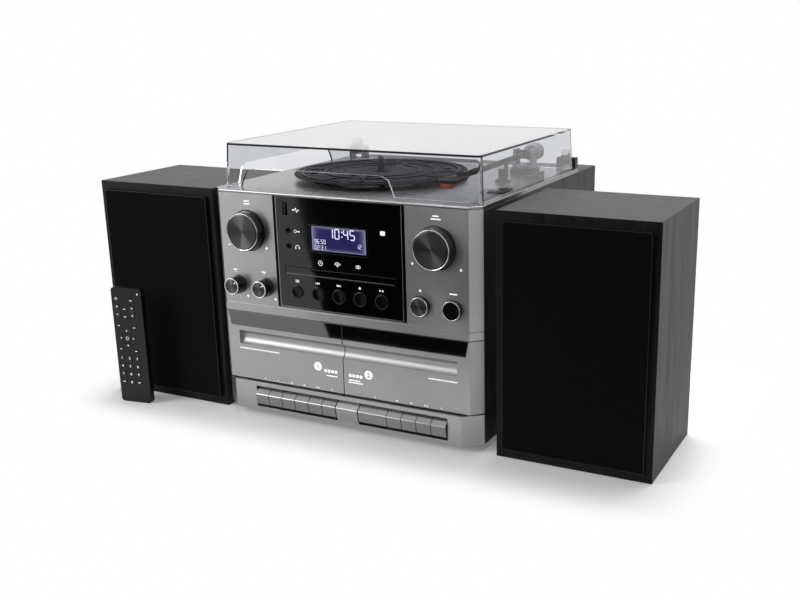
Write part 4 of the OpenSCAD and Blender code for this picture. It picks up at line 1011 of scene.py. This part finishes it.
@dataclass
class CentrePanel:
    """Gloss panel with the screen, the disc slot, sockets, round buttons and its marks."""

    button_z: float = 148.0
    button_r: float = 7.1
    button_out: float = 1.2
    pitch: float = 25.6
    shift: float = -1.5
    names: tuple[str, ...] = ("menu", "previous", "next", "stop", "play")
    ring_w: float = 0.6
    panel_half: float = 75.5
    panel_low: float = 129.8
    jack_x: float = -60.8
    jack_z: Pair = (213.8, 197.2)
    screen: tuple[float, float, float, float] = (-31.5, 33.0, 195.2, 220.6)

    def build(self) -> None:
        """Make the panel and all that it carries."""
        SHOP.softened("centre_panel", Look.GLOSS, 0.5, "panel_black", 3)
        SHOP.softened("display_module", Look.GLOSS, 0.3, "display")
        SHOP.softened("cd_tray", Look.GLOSS, 0.3, "panel_black")
        self._sockets()
        self._buttons()
        self._screen()
        self._marks()
        self._edge_highlights()

    def _button_x(self) -> list[float]:
        """Places of the buttons, from left to right."""
        return [(i - 2) * self.pitch + self.shift for i in range(len(self.names))]

    def _buttons(self) -> None:
        """Round buttons, each a dished cap inside a thin bright ring."""
        r, out, wide = self.button_r, self.button_out, self.button_r + self.ring_w
        cap = lathe([(0, -9.0, 0), (r - 0.15, -9.0, 0), (r - 0.15, out, 0.6), (r - 1.5, out, 0.4),
                     (0, out - 0.5, 0)], 56)
        ring = lathe([(r + 0.05, -0.4, 0), (r + 0.05, 0.55, 0.2), (wide, 0.55, 0.3), (wide, -0.4, 0),
                      (r + 0.05, -0.4, 0)], 56)
        for x, name in zip(self._button_x(), self.names):
            SHOP.piece(f"{name}_button_cap", cap.facing(x, 0, self.button_z), Look.BUTTON,
                       f"{name}_button", (f"{name}_button",), "knob_dark")
            SHOP.piece(f"{name}_button_ring", ring.facing(x, 0, self.button_z), Look.DARK_RING,
                       slot="socket_metal")

    def _sockets(self) -> None:
        """Rims of the jacks and the inner tongue of the USB socket."""
        SHOP.dress("front_sockets", Look.DARK_RING)
        rim = lathe([(1.82, -6.0, 0), (1.82, 0.25, 0.2), (3.4, 0.25, 0.4), (3.4, -2.0, 0),
                     (1.82, -6.0, 0)], 40)
        SHOP.piece("jack_rims", joined(rim.facing(self.jack_x, 0, z) for z in self.jack_z), Look.BUTTON,
                   slot="socket_metal")
        tongue = slab(round_rect(1.6, 11.4, 0.3), -10.0, -0.6, 0.2)
        SHOP.piece("usb_tongue", tongue.facing(-64.0, 0, 236.4), Look.DARK, slot="dark_plastic")

    def _screen(self) -> None:
        """Lit screen with a clock of plain numerals."""
        x0, x1, z0, z1 = self.screen
        plate = slab(round_rect(x1 - x0, z1 - z0, 0.8), -0.2, 0.0)
        front = UNIT.box("display_module")[0][1]
        centre = ((x0 + x1) / 2, front - 0.02, (z0 + z1) / 2)
        glass = ScreenFinish("screen_blue", (0.012, 0.010, 0.050), (0.018, 0.015, 0.075), 0.10, relief=0.01,
                             spread=0.02, glow=0.9, specular=0.15, centre_mm=centre,
                             half_mm=((x1 - x0) / 2, (z1 - z0) / 2))
        SHOP.piece("screen_glow", plate.facing(*centre), glass, slot="display")
        marks = Marks(0.04, front - 0.03)
        for row in (("10:45", -11.0, 214.2, 9.8), ("96.50", -28.4, 204.8, 4.2), ("02:31", -28.4, 198.6, 4.2),
                    ("12", 22.0, 203.0, 4.2)):
            marks.counter(*row)
        marks.make("screen_figures", Look.DIGIT, slot="display")

    def _marks(self) -> None:
        """White signs beside the sockets, over the buttons and on the panel."""
        m = Marks()
        # USB: a stem with an arrow head, a dot and two branches
        m.bars((-49.8, 235.8, 6.0, 0.5), (-50.4, 236.9, 2.2, 0.45, 40), (-49.2, 234.7, 2.2, 0.45, -40))
        m.arrows((-46.2, 235.8, 1.6))
        m.dots((-53.2, 235.8, 0.9))
        m.dots((-49.6, 237.6, 0.6), steps=16)
        m.add(round_rect(1.1, 1.1, 0.1, 1), -48.2, 234.0)
        # Line input: a ring and an arrow. Headphones: an arc over two pads
        m.ring(-51.6, 213.2, 1.5, 0.5)
        m.arrows((-46.8, 213.2, 1.8))
        m.ring(-49.9, 196.4, 2.2, 0.5, 0, 180)
        m.bars((-48.4, 213.2, 3.2, 0.5), (-52.1, 195.6, 1.1, 2.0), (-47.7, 195.6, 1.1, 2.0))
        # White square right of the screen: the stop sign of the disc player
        m.bars((53.3, 219.4, 5.6, 4.4))
        # Row under the screen: disc, waves and link, all plain signs
        for x, r, w in ((-22.3, 2.6, 0.5), (-22.3, 0.8, 0.4), (22.2, 1.5, 0.5), (24.3, 1.5, 0.5)):
            m.ring(x, 182.0, r, w)
        for r in (1.2, 2.5, 3.8):
            m.ring(-1.6, 180.6, r, 0.5, 20, 160)
        m.dots((-1.6, 180.6, 0.7), steps=18)
        # Over the buttons: list, back, forward, stop, play and pause
        menu, back, fore, stop, play = (x + 0.2 for x in self._button_x())
        z = 159.8
        m.bars(*((menu, z + k, 4.6, 0.5) for k in (-1, 0, 1)))
        for x, s, degrees in ((back, -1, 180), (fore, 1, 0)):
            m.arrows((x - s * 1.1, z, 2.2, degrees), (x + s * 0.9, z, 2.2, degrees))
            m.bars((x + s * 2.3, z, 0.5, 2.2))
        m.arrows((play - 1.3, z, 2.3))
        m.bars((stop, z, 2.3, 2.3), (play + 1.0, z, 0.55, 2.3), (play + 2.0, z, 0.55, 2.3))
        m.make("panel_marks", slot="panel_black")

    def _edge_highlights(self) -> None:
        """Painted highlights: thin grey metal lines along the panel's edges and the tray's lip, where those
        edges catch the light.
        """
        top = UNIT.box("centre_panel")[1][2]
        side = self.panel_half - 0.6
        edge = Marks(0.12)
        edge.bars((0, self.panel_low + 0.7, 2 * side, 0.7),
                  *((s * side, (self.panel_low + top) / 2, 0.8, top - self.panel_low - 1.6) for s in (-1, 1)))
        edge.make("panel_edge_highlights", Look.EDGE_HIGHLIGHT, slot="socket_metal")
        low, high = UNIT.box("cd_tray")
        lip = Marks(0.10, low[1])
        lip.bars((0, low[2] + 0.5, high[0] - low[0] - 1.6, 0.5))
        lip.make("tray_edge_highlight", Look.EDGE_HIGHLIGHT, "cd_tray", "socket_metal")


@dataclass
class Knobs:
    """Two large push knobs, two small knobs and two round side buttons, with their rings."""

    big_x: float = 112.5
    big_z: float = 209.5
    big_r: float = 21.0
    big_out: float = 11.0
    small_z: float = 148.8
    small_r: float = 10.3
    small_out: float = 12.5
    side_out: float = 5.0
    pointer: float = 48.0
    inner_x: float = 94.5
    outer_x: float = 130.5
    flutes: int = 32
    flute_depth: float = 0.022

    def build(self) -> None:
        """Make knobs, side buttons and the marks about them."""
        for side, name in ((-1, "volume"), (1, "tuning")):
            self._large((side * self.big_x, 0, self.big_z), name)
            SHOP.dress(f"{name}_shaft", Look.BRASS)
        self._small((-self.outer_x, 0, self.small_z), "bass")
        self._small((-self.inner_x, 0, self.small_z), "treble")
        self._side((self.inner_x, 0, self.small_z), "eject", True)
        self._side((self.outer_x, 0, self.small_z), "source", False)
        self._marks()

    @staticmethod
    def _body(name: str, shape: Shape, at: Triple, node: str) -> None:
        """Dark gloss body that stands for a node."""
        SHOP.piece(name, shape.facing(*at), Look.KNOB_SIDE, node, (node,), "knob_dark")

    @staticmethod
    def _face(name: str, shape: Shape, at: Triple, node: str, body: str) -> None:
        """Spun face with its turned rings centred on the knob."""
        look = SpunFinish(f"{name}_spun", (0.062, 0.062, 0.065), (0.078, 0.078, 0.081), 0.30, 1.0,
                          relief=0.12, depth_mm=0.03, spread=0.03, centre_mm=at)
        SHOP.piece(node, shape.facing(*at), look, body, slot="knob_dark")

    def _large(self, at: Triple, name: str) -> None:
        """One large knob: skirt, bright chamfer, spun face, and behind it a dark ring that is painted shade
        about the knob's foot.
        """
        r, out, node = self.big_r, self.big_out, f"{name}_knob"
        self._body(f"{node}_body", lathe([
            (0, 1.6, 0), (r - 0.3, 1.6, 0.4), (r, 3.2, 0.8), (r, out - 1.4, 0.5), (r - 0.9, out - 0.1, 0),
            (r - 2.2, out - 0.1, 0), (r - 2.2, out - 0.7, 0), (0, out - 0.7, 0)], 120), at, node)
        self._face(name, lathe([
            (0, out - 0.7, 0), (r - 2.3, out - 0.7, 0), (r - 2.3, out - 0.05, 0.15),
            (r - 3.2, out + 0.15, 0.5), (6.0, out - 0.35, 3.0), (0, out - 0.45, 0)], 120, 6),
            at, f"{node}_face", node)
        ring = lathe([(r - 2.4, out - 0.5, 0), (r - 1.3, out + 0.12, 0.2), (r - 0.75, out - 0.3, 0.2),
                      (r - 1.2, out - 0.9, 0), (r - 2.4, out - 0.9, 0), (r - 2.4, out - 0.5, 0)], 120)
        SHOP.piece(f"{node}_ring", ring.facing(*at), Look.CHROME, node, slot="socket_metal")
        # Dark ring about the knob's foot: painted shade where the knob shades the fascia
        painted_shade = lathe([(r + 0.4, -0.6, 0), (r + 0.4, 0.7, 0.3), (r + 1.5, 0.7, 0.5), (r + 1.5, -0.6, 0),
                      (r + 0.4, -0.6, 0)], 120)
        SHOP.piece(f"{name}_painted_shade_ring", painted_shade.facing(*at), Look.DARK, slot="front_grey")

    def _small(self, at: Triple, name: str) -> None:
        """One small knob: fluted gloss skirt, spun face, pointer notch and a bright ring at the face's edge.
        """
        r, out, node = self.small_r, self.small_out, f"{name}_knob"
        shape = lathe([(0, 1.4, 0), (r - 0.2, 1.4, 0.3), (r, 2.4, 0.5), (r - 1.0, out - 0.6, 0.3),
                       (r - 1.6, out - 0.1, 0.2), (0, out - 0.1, 0)], 160)
        x, y, z = shape.points.T
        rim = np.clip((np.hypot(x, y) - (r - 1.2)) / 0.8, 0, 1) * np.clip((z - 2.6) / 0.8, 0, 1)
        wave = 0.5 - 0.5 * np.cos(self.flutes * np.arctan2(y, x))
        shape.points[:, :2] *= (1 - self.flute_depth * rim * wave)[:, None]
        self._body(f"{node}_body", shape, at, node)
        self._face(name, lathe([(0, out - 0.1, 0), (r - 2.1, out - 0.1, 0), (r - 2.3, out + 0.12, 0.2),
                                (0, out + 0.1, 0)], 96), at, f"{node}_face", node)
        notch = slab(round_rect(0.9, 3.0, 0.3), out - 0.4, out + 0.4, 0.2).moved(0, r - 4.0)
        SHOP.piece(f"{node}_notch", notch.turned("z", -self.pointer).facing(*at), Look.PRINT_PAINTED_GLOW, node,
                   slot="knob_dark")
        self._rim(name, node, at, r - 1.1, out)

    @staticmethod
    def _rim(name: str, body: str, at: Triple, r: float, out: float) -> None:
        """Thin bright ring of outer radius r about a face that stands out by out."""
        ring = lathe([(r - 1.3, out - 0.4, 0), (r - 1.0, out + 0.3, 0.2), (r - 0.3, out + 0.3, 0.2),
                      (r, out - 0.4, 0.2), (r - 0.3, out - 0.9, 0), (r - 1.3, out - 0.4, 0)], 96)
        SHOP.piece(f"{name}_bright_ring", ring.facing(*at), Look.CHROME, body, slot="socket_metal")

    def _side(self, at: Triple, name: str, spun: bool) -> None:
        """One round side button: dark or spun cap with a bright ring on its edge."""
        r, out, node = self.small_r, self.side_out, f"{name}_button"
        self._body(f"{node}_cap", lathe([
            (0, -2.5, 0), (r - 0.1, -2.5, 0), (r - 0.1, out - 0.6, 0.4), (r - 0.6, out - 0.2, 0.3),
            (r - 1.6, out - 0.3, 0), (0, out - 0.3, 0)], 96), at, node)
        self._rim(name, node, at, r - 0.2, out - 0.32)
        if spun:
            self._face(name, lathe([(0, out - 0.3, 0), (r - 1.5, out - 0.3, 0), (r - 1.7, out - 0.1, 0.1),
                                    (0, out - 0.12, 0)], 96), at, f"{node}_face", node)

    @staticmethod
    def _marks() -> None:
        """White signs about the knobs: words as bars, minus, plus and arrows."""
        m = Marks()
        m.bars((-112.3, 241.2, 7.0, 1.3), (-112.3, 238.2, 7.6, 1.3), (113.0, 241.2, 7.0, 1.3),
               (113.0, 238.2, 11.0, 1.3), (-138.6, 192.2, 3.4, 1.0), (-133.4, 165.0, 5.4, 1.3),
               (-95.7, 165.2, 5.4, 1.3), (131.2, 165.0, 8.4, 1.3))
        for x, z, size in ((-89.6, 191.8, 3.4), (-118.4, 136.6, 3.0), (-82.2, 136.6, 3.0)):
            m.bars((x, z, size, 1.0), (x, z, 1.0, size))
        m.arrows((86.2, 191.2, 3.2, -90), (139.8, 190.6, 3.2, 90), (94.4, 165.4, 3.2, 90),
                 (-133.0, 162.5, 1.6, -90), (-95.3, 162.7, 1.6, -90))
        m.make("front_marks", slot="front_grey")


@dataclass
class CassetteDeck:
    """Two doors with gloss windows and the row of piano keys."""

    pitch: float = 17.3
    left_x: float = -111.0
    right_x: float = 20.7
    keys: tuple[str, ...] = ("play", "rewind", "forward", "stop", "pause")
    signs: tuple[str, ...] = ("record", "play", "back", "fore", "eject", "pause")

    def build(self) -> None:
        """Make doors, windows, keys and the marks on them."""
        for side in ("left", "right"):
            SHOP.softened(f"{side}_cassette_door", Look.DOOR, 0.5, "door_silver")
            SHOP.softened(f"{side}_door_window", Look.WINDOW, 0.3, "panel_black")
        for name in ("record", *(f"{side}_{key}" for side in ("left", "right") for key in self.keys)):
            SHOP.softened(f"{name}_key", Look.KEY, 0.5, "key_silver", 3)
        self._marks("left", 1, -32.0, 67.8, "1", (-108.0, 75.8, 53.0, 1.1))
        self._marks("right", -1, 30.8, 66.9, "2", (118.0, 73.8, 33.0, 1.1), (14.6, 55.6, 18.0, 1.2))

    def _marks(self, side: str, s: int, x: float, z: float, digit: str, *bars: Sequence[float]) -> None:
        """Number disc and bars of one door, and the small signs over its keys.

        Args:
            side: Which door.
            s: Way from the disc to the words, 1 to the right.
            x: Place of the disc across.
            z: Height of the disc.
            digit: Numeral on the disc.
            bars: Bars that stand for the other words.
        """
        m = Marks()
        m.dots((x, z, 4.8), steps=40)
        m.bars(*((x + s * (9.4 + 4.4 * k), z - 3.6, 3.4, 3.4) for k in range(4)),
               (x + s * 17.4, z - 8.8, 14.0, 1.2), *bars)
        self._row(m, side == "left", UNIT.box(f"{side}_cassette_door")[0][2] + 2.4)
        m.make(f"{side}_door_marks", body=f"{side}_door", slot="door_silver")
        figure = Marks(0.03, -m.thickness)
        figure.text(digit, x, z, 5.6, 0.05)
        figure.make(f"{side}_door_figure", Look.DARK, f"{side}_door", "door_silver")

    def _row(self, m: Marks, left: bool, z: float) -> None:
        """Signs over the keys of one side; the right play key is two keys wide, without a record key."""
        x = self.left_x if left else self.right_x
        for k, sign in enumerate(self.signs if left else self.signs[1:]):
            wide = self.pitch * (1 if left or k else 2)
            self._sign(m, sign, x + wide / 2, z)
            x += wide

    @staticmethod
    def _sign(m: Marks, sign: str, x: float, z: float) -> None:
        """One small sign over a key."""
        if sign == "record":
            m.dots((x, z, 0.75))
        elif sign == "play":
            m.arrows((x, z, 1.5))
        elif sign in ("back", "fore"):
            m.arrows(*((x + dx, z, 1.5, 180 if sign == "back" else 0) for dx in (-0.75, 0.75)))
        elif sign == "eject":
            m.bars((x - 1.6, z, 1.3, 1.3), (x + 1.2, z - 0.75, 1.5, 0.3))
            m.arrows((x + 1.2, z + 0.2, 1.4, 90))
        else:
            m.bars((x - 0.45, z, 0.4, 1.5), (x + 0.45, z, 0.4, 1.5))


# Turntable


@dataclass
class Turntable:
    """Platter with its ribbed mat, tonearm with headshell and cartridge, and the small controls."""

    centre: Pair = (-24.0, 134.0)
    pivot: Triple = (115.0, 215.0, 274.3)
    arm_turn: float = -1.8
    arm_length: float = 177.0
    arm_drop: float = 4.0
    deck_z: float = 252.3
    rib_pitch: float = 1.0
    rib_depth: float = 0.22
    mat_sunk: float = 1.35
    figure_root: float = 1.5

    def build(self) -> None:
        """Make the pieces of the record player."""
        self._platter()
        self._mat()
        self._base()
        self._arm()
        self._headshell()
        self._cartridge()
        self._controls()

    def _platter(self) -> None:
        """Platter: rim with two beads, flat top under the mat, spindle."""
        low, high = (corner[2] for corner in UNIT.box("platter"))
        top = high - low
        rim = lathe([(0, 3.6, 0), (92, 3.6, 0), (97, 0.2, 1), (100.2, 0.2, 0.6), (101, 1.2, 0.5),
                     (100.3, 2.4, 0.4), (101, 3.6, 0.4), (100.6, 5.2, 0.8), (99.0, 5.4, 0.3),
                     (0, 5.35, 0)], 160)
        pin = lathe([(0, 5.0, 0), (3.55, 5.0, 0), (3.55, top - 3.2, 0.3), (3.1, top - 1.6, 1.0),
                     (1.9, top - 0.1, 1.0), (0, top, 0)], 40)
        SHOP.piece("platter_body", rim.moved(*self.centre, low), Look.PLATTER, "platter", ("platter",),
                   "platter_black")
        SHOP.piece("spindle_pin", pin.moved(*self.centre, low), Look.DARK_RING, "platter",
                   slot="platter_black")

    def _mat(self) -> None:
        """Mat: radial profile with fine ribs, a raised label ring, spots, arcs and short strokes.

        Height over the radius is the mat's top less a shallow cosine for each rib.
        """
        low, top = (corner[2] for corner in UNIT.box("platter_mat"))
        first, last = 50, 93
        r = np.concatenate([[3.7, 8.0, 8.4, 19.0, 19.6, 46.0, 46.8], np.linspace(first, last, 173),
                            [95.0, 96.2, 97.4]])
        h = np.full(len(r), top - self.mat_sunk)
        h[:2] = top - 0.1
        h[4:6] = top - 1.15
        h[6] = top - 1.45
        ribs = (r >= first) & (r <= last)
        wave = 0.5 - 0.5 * np.cos((r[ribs] - first) * 2 * math.pi / self.rib_pitch)
        h[ribs] = top - 1.25 - self.rib_depth * wave
        h[-3:] = (top, top - 0.05, top - 0.9)
        outline = [(3.7, low), *zip(r.tolist(), h.tolist()), (97.4, low), (3.7, low)]
        SHOP.piece("mat_body", lathe(outline, 128).moved(*self.centre), Look.MAT, "platter",
                   ("platter_mat",), "rubber", sharp=60.0)
        root = top - self.figure_root
        spot = lathe([(0, root, 0), (4.6, root, 0), (4.6, top, 0.3), (0, top, 0)], 32).moved(75.7)
        stroke = slab(round_rect(17.0, 2.4, 0.9), root, top, 0.2).moved(75.2)
        arcs = [self._arc(radius, span, (root + top) / 2)
                for radius, span in ((44.0, 74.0), (62.0, 80.0), (88.5, 82.0))]
        raised = joined([spot.turned("z", 35), stroke.turned("z", 14), stroke.turned("z", 76), *arcs])
        SHOP.piece("mat_figures", joined(raised.turned("z", 90 * k) for k in range(4)).moved(*self.centre),
                   Look.PLATTER, "platter", slot="rubber", sharp=40.0)

    def _arc(self, radius: float, span: float, z: float) -> Shape:
        """Raised arc on the mat: a rounded section carried round the spindle over span degrees."""
        a = np.radians(8 + np.linspace(0, span, 25))
        path = np.column_stack([radius * np.cos(a), radius * np.sin(a), np.full(25, z)])
        return sweep(path, round_rect(2.2, self.figure_root, 0.25, 3))

    def _base(self) -> None:
        """Turret base with its collar, arm rest and control plate."""
        x, y, _ = self.pivot
        collar = lathe([(5.0, -1, 0), (16.8, -1, 0), (17.0, 2.2, 0.6), (15.4, 3.0, 0.6), (15.0, 6.9, 0.8),
                        (5.0, 6.9, 0)], 72)
        SHOP.softened("tonearm_base", Look.DARK, 0.35, "arm_black")
        SHOP.piece("base_collar", collar.moved(x, y, self.deck_z), Look.DARK, slot="arm_black")
        SHOP.softened("tonearm_gimbal", Look.STEEL, 0.5, "arm_black", 3)

    def _on_arm(self, name: str, shapes: Sequence[Shape], look: Look, nodes: Sequence[str] = (),
                slot: str = "arm_black", sharp: float = 32.0) -> None:
        """Make a piece of the arm, drawn along -y from its pivot and turned by the rest angle."""
        SHOP.piece(name, joined(shapes).turned("z", self.arm_turn).moved(*self.pivot), look, "tonearm",
                   nodes, slot, sharp)

    def _arm(self) -> None:
        """Arm tube with its rear stub and pivot pin, and the counterweight."""
        along = np.linspace(0, self.arm_length - 22, 40)
        path = np.column_stack([np.zeros(40), -along, -along * self.arm_drop / self.arm_length])
        rear = lathe([(0, -16, 0), (3.0, -16, 0.4), (3.0, 2, 0), (0, 2, 0)], 32)
        pin = lathe([(0, -11.6, 0), (1.5, -11.6, 0.3), (1.5, -7.8, 0), (5.0, -7.6, 0.4), (5.0, 7.6, 0.4),
                     (1.5, 7.8, 0), (1.5, 11.6, 0.3), (0, 11.6, 0)], 40)
        self._on_arm("arm_tube", [sweep(path, circle(3.2, 28)), rear.turned("x", 90.0),
                                  pin.turned("y", 90.0)], Look.ARM, ("tonearm",))
        weight = lathe([(0, -33.8, 0), (8.6, -33.8, 0.8), (9.8, -32.6, 0.6), (9.8, -26.0, 0.3),
                        (9.2, -25.6, 0.2), (9.2, -24.8, 0.2), (9.8, -24.4, 0.3), (9.8, -17.6, 0.6),
                        (8.8, -16.2, 0.8), (0, -16.2, 0)], 72)
        self._on_arm("arm_weight", [weight.turned("x", 90.0)], Look.STEEL)

    def _headshell(self) -> None:
        """Headshell with ribs and a finger lift, drawn about the needle and moved to the arm's end."""
        left = [(-6.0, -7.8), (-8.8, -4), (-8.6, 20), (-5.5, 29)]
        shell = slab(np.array(left + [(-x, y) for x, y in left[::-1]]), -6.4, -2.8, 0.9, 0.6)
        neck = lathe([(0, 0, 0), (4.2, 0, 0.5), (4.4, 10, 0.5), (0, 10, 0)], 36).turned("x", 90.0)
        ribs = [slab(round_rect(0.9, 20, 0.3), -2.9, -2.35, 0.2).moved(dx, 7) for dx in (-4.5, 0, 4.5)]
        t = np.linspace(0, 1, 16)
        lift = sweep(np.column_stack([8.2 + 7.5 * t, np.full(16, 2.0), -3.9 + 2.2 * t**2]),
                     round_rect(2.4, 0.8, 0.35, 3))
        lift.points[:, 0] = np.minimum(lift.points[:, 0], 15.8)
        parts = [shell, neck.moved(0, 36, -3.9), lift, *ribs]
        self._on_arm("arm_headshell", [part.moved(0, -self.arm_length) for part in parts], Look.ARM,
                     sharp=35.0)

    def _cartridge(self) -> None:
        """Red cartridge under the headshell: body, wedge-shaped nose and needle."""
        body = slab(round_rect(10.6, 20.0, 1.4), -10.6, -6.5, 0.8, 1.2).moved(0, 1.5)
        side = np.array([(5.0, -7.2), (5.0, -11.2), (-3.0, -11.2), (-8.6, -9.6), (-8.6, -7.2)])
        nose = slab(side, -3.2, 3.2, 0.4, 0.4)
        nose = Shape(nose.points[:, [2, 0, 1]], nose.faces)
        needle = lathe([(0, -12.0), (0.3, -11.8), (0.9, -10.8), (0, -10.4)], 16)
        self._on_arm("cartridge_body", [part.moved(0, -self.arm_length) for part in (body, nose, needle)],
                     Look.RED, ("cartridge",), "cartridge_red")

    def _controls(self) -> None:
        """Cue lever, speed switch, and the plain marks of the plate."""
        SHOP.softened("cue_lever", Look.DARK, 0.5, "arm_black", 3)
        SHOP.softened("speed_switch", Look.DARK, 0.4, "arm_black")
        m = Marks(0.08)
        for digits, z in (("33", 96.0), ("45", 105.0), ("78", 114.0)):
            m.text(digits, 132.6, z, 3.0)
        flat = joined(m.shapes).turned("x", -90.0).moved(z=self.deck_z + 1.0)
        SHOP.piece("speed_figures", flat, Look.PRINT_PAINTED_GLOW, slot="arm_black", sharp=20.0)


@dataclass
class DustCover:
    """Clear hinged lid with dark leaves at its hinges."""

    leaf_x: float = 142.5
    leaf_y: float = 278.3
    rim_below: float = 296.0

    def build(self) -> None:
        """Make the lid's walls from the CAD node, rounded, with a painted glint on the rounded edges below
        rim_below, and the hinge leaves.
        """
        SHOP.softened("lid", ACRYLIC, 1.0, "lid_clear", rim=Look.PAINTED_EDGE_GLINT, rim_below=self.rim_below)
        leaf = slab(round_rect(11.8, 8.2, 1.5), 256.3, 267.0, 1.0, 1.0)
        leaves = [leaf.moved(x, self.leaf_y) for x in (-self.leaf_x, self.leaf_x)]
        SHOP.piece("lid_hinge_leaves", joined(leaves), Look.DARK, "lid", slot="dark_plastic")


# Speakers and remote control


@dataclass
class Speakers:
    """Two wood-grain boxes with cloth stretched over their grille frames."""

    left_edges: Pair = (-322.0, 174.0)
    width: float = 160.0
    front: float = 6.0
    depth: float = 134.6
    height: float = 250.7
    frame_out: float = 4.0
    side: float = 7.5
    top: float = 9.5
    low: float = 10.0
    cloth_t: float = 0.3
    wrap: float = 3.6
    plate_z: float = 60.0
    clip_z: float = 64.5

    def build(self) -> None:
        """Make boxes, cloths and the terminals on the back."""
        # The faces that look to the front take the darker copy of the wood: painted shade
        SHOP.softened("speaker_cabinets", Look.WOOD, 0.6, "wood_grain", front=Look.WOOD_SHADED_FRONT)
        SHOP.dress("speaker_grilles", Look.DARK)
        SHOP.dress("speaker_fittings", Look.CONE)
        for name, x0 in zip(("left", "right"), self.left_edges):
            self._cloth(name, x0 + self.width / 2)
            self._terminals(name, x0 + self.width / 2)

    def _cloth(self, name: str, x: float) -> None:
        """Cloth of one grille: rings of a rounded rectangle, wrapped over the frame's edge.

        Ring k lies at inset e and depth y: straight along the side, then a quarter circle of 2 mm,
        then flat over the frame and 0.25 mm hollow over its opening.
        """
        w = self.width - 2 * self.side + 2 * self.cloth_t
        h = self.height - self.top - self.low + 2 * self.cloth_t
        z = self.low + (self.height - self.top - self.low) / 2
        face = self.front - self.frame_out - self.cloth_t
        a = np.linspace(0.2, math.pi / 2, 6)
        rings = [(0.0, self.front - 0.2), (0.0, face + 2.0),
                 *zip(2 * (1 - np.cos(a)), face + 2 * (1 - np.sin(a))), (4.0, face), (9.0, face),
                 (12.0, face + 0.12), (18.0, face + 0.2), (40.0, face + 0.25), (60.0, face + 0.25)]
        points = np.vstack([np.insert(round_rect(w - 2 * e, h - 2 * e, max(3.2 - e, 0.8), 5), 1, y, axis=1)
                            for e, y in rings])
        n = len(points) // len(rings)
        shape = Shape(points, quads(len(rings), n) + [list(range(len(points) - n, len(points)))])
        cloth = SHOP.piece(f"{name}_grille_cloth", shape.moved(x, 0, z), Look.CLOTH, slot="cloth", sharp=60.0)
        thick = cloth.modifiers.new("thickness", "SOLIDIFY")
        thick.thickness = self.cloth_t * 0.9 * MM
        thick.offset = -1.0

    def _terminals(self, name: str, x: float) -> None:
        """Round terminal plate with two spring clips."""
        y = self.front + self.depth
        plate = lathe([(0, 0.2, 0), (24, 0.2, 0), (24, 1.5, 0.5), (21.5, 1.9, 0.4), (20.5, 1.5, 0.3),
                       (0, 1.5, 0)], 72).turned("x", -90.0)
        SHOP.piece(f"{name}_terminal_rim", plate.moved(x, y + 0.15, self.plate_z), Look.DARK,
                   slot="dark_plastic")
        lever = slab(round_rect(8.0, 11.0, 1.2), 0.0, 3.4, 0.8).turned("x", -90.0)
        for dx, look, word in ((-8.0, Look.RED, "live"), (8.0, Look.DARK, "common")):
            SHOP.piece(f"{name}_{word}_clip", lever.moved(x + dx, y + 1.5, self.clip_z), look,
                       slot="dark_plastic")


@dataclass
class RemoteControl:
    """Slim upright remote with rubber keys and plain marks."""

    corner: Pair = (-286.5, -33.0)
    yaw: float = 8.5
    columns: Triple = (6.4, 16.4, 26.4)
    first_row: float = 24.4
    row_pitch: float = 9.7
    key_face: float = -0.4

    def build(self) -> None:
        """Make the shell, the keys and their marks."""
        SHOP.softened("remote_shell", Look.REMOTE, 0.9, "remote_dark", 3)
        SHOP.softened("remote_keypad", Look.REMOTE_KEY, 0.35, "rubber")
        SHOP.dress("remote_battery_tray", Look.DARK)
        self._marks()

    def _marks(self) -> None:
        """Numerals and signs on the keys, the light window at the top."""
        m = Marks(0.06, self.key_face)
        for k, digit in enumerate("-0-789456123"):
            x, z = self.columns[k % 3], self.first_row + (k // 3) * self.row_pitch
            if digit == "-":
                m.bars((x, z, 3.2, 0.7))
            else:
                m.text(digit, x, z, 2.9, 0.02)
        m.ring(6.4, 124.0, 1.3, 0.4, 120, 420)
        m.ring(16.2, 77.5, 1.7, 0.4)
        m.bars((6.4, 125.2, 0.4, 1.4), (25.5, 122.6, 3.4, 0.7), (6.4, 114.6, 2.4, 0.5),
               (6.4, 105.4, 2.4, 0.5), (6.4, 114.6, 0.5, 2.4), (16.0, 112.0, 3.4, 0.6),
               (16.0, 103.0, 3.4, 0.6),
               *((x, z, 2.8, 0.6) for x, z in ((6.4, 92.0), (26.4, 90.6), (6.4, 64.0), (26.4, 62.6))))
        m.arrows((26.0, 113.8, 2.0, 90), (26.0, 104.6, 2.0, -90), (16.2, 86.6, 1.8, 90),
                 (16.2, 68.6, 1.8, -90), (8.0, 77.5, 1.8, 180), (24.6, 77.5, 1.8))
        m.y = 0.0
        m.dots((34.6, 130.5, 0.9))
        flat = joined(m.shapes).turned("z", self.yaw).moved(*self.corner)
        SHOP.piece("remote_marks", flat, Look.PRINT_PAINTED_GLOW, slot="remote_dark", sharp=20.0)


# The whole set


def main() -> None:
    """Build camera, room and every assembly, and report the pieces."""
    logging.basicConfig(level=logging.INFO, format="%(message)s")
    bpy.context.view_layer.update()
    Viewpoint().build()
    Studio().build()
    for assembly in ASSEMBLIES:
        before = len(SHOP.made)
        assembly.build()
        LOG.info("%s: %s", type(assembly).__name__, ", ".join(SHOP.made[before:]) or "finishes only")


ASSEMBLIES = (Carcass(), CentrePanel(), Knobs(), CassetteDeck(), Turntable(), DustCover(), Speakers(),
              RemoteControl())


if __name__ == "__main__":
    main()
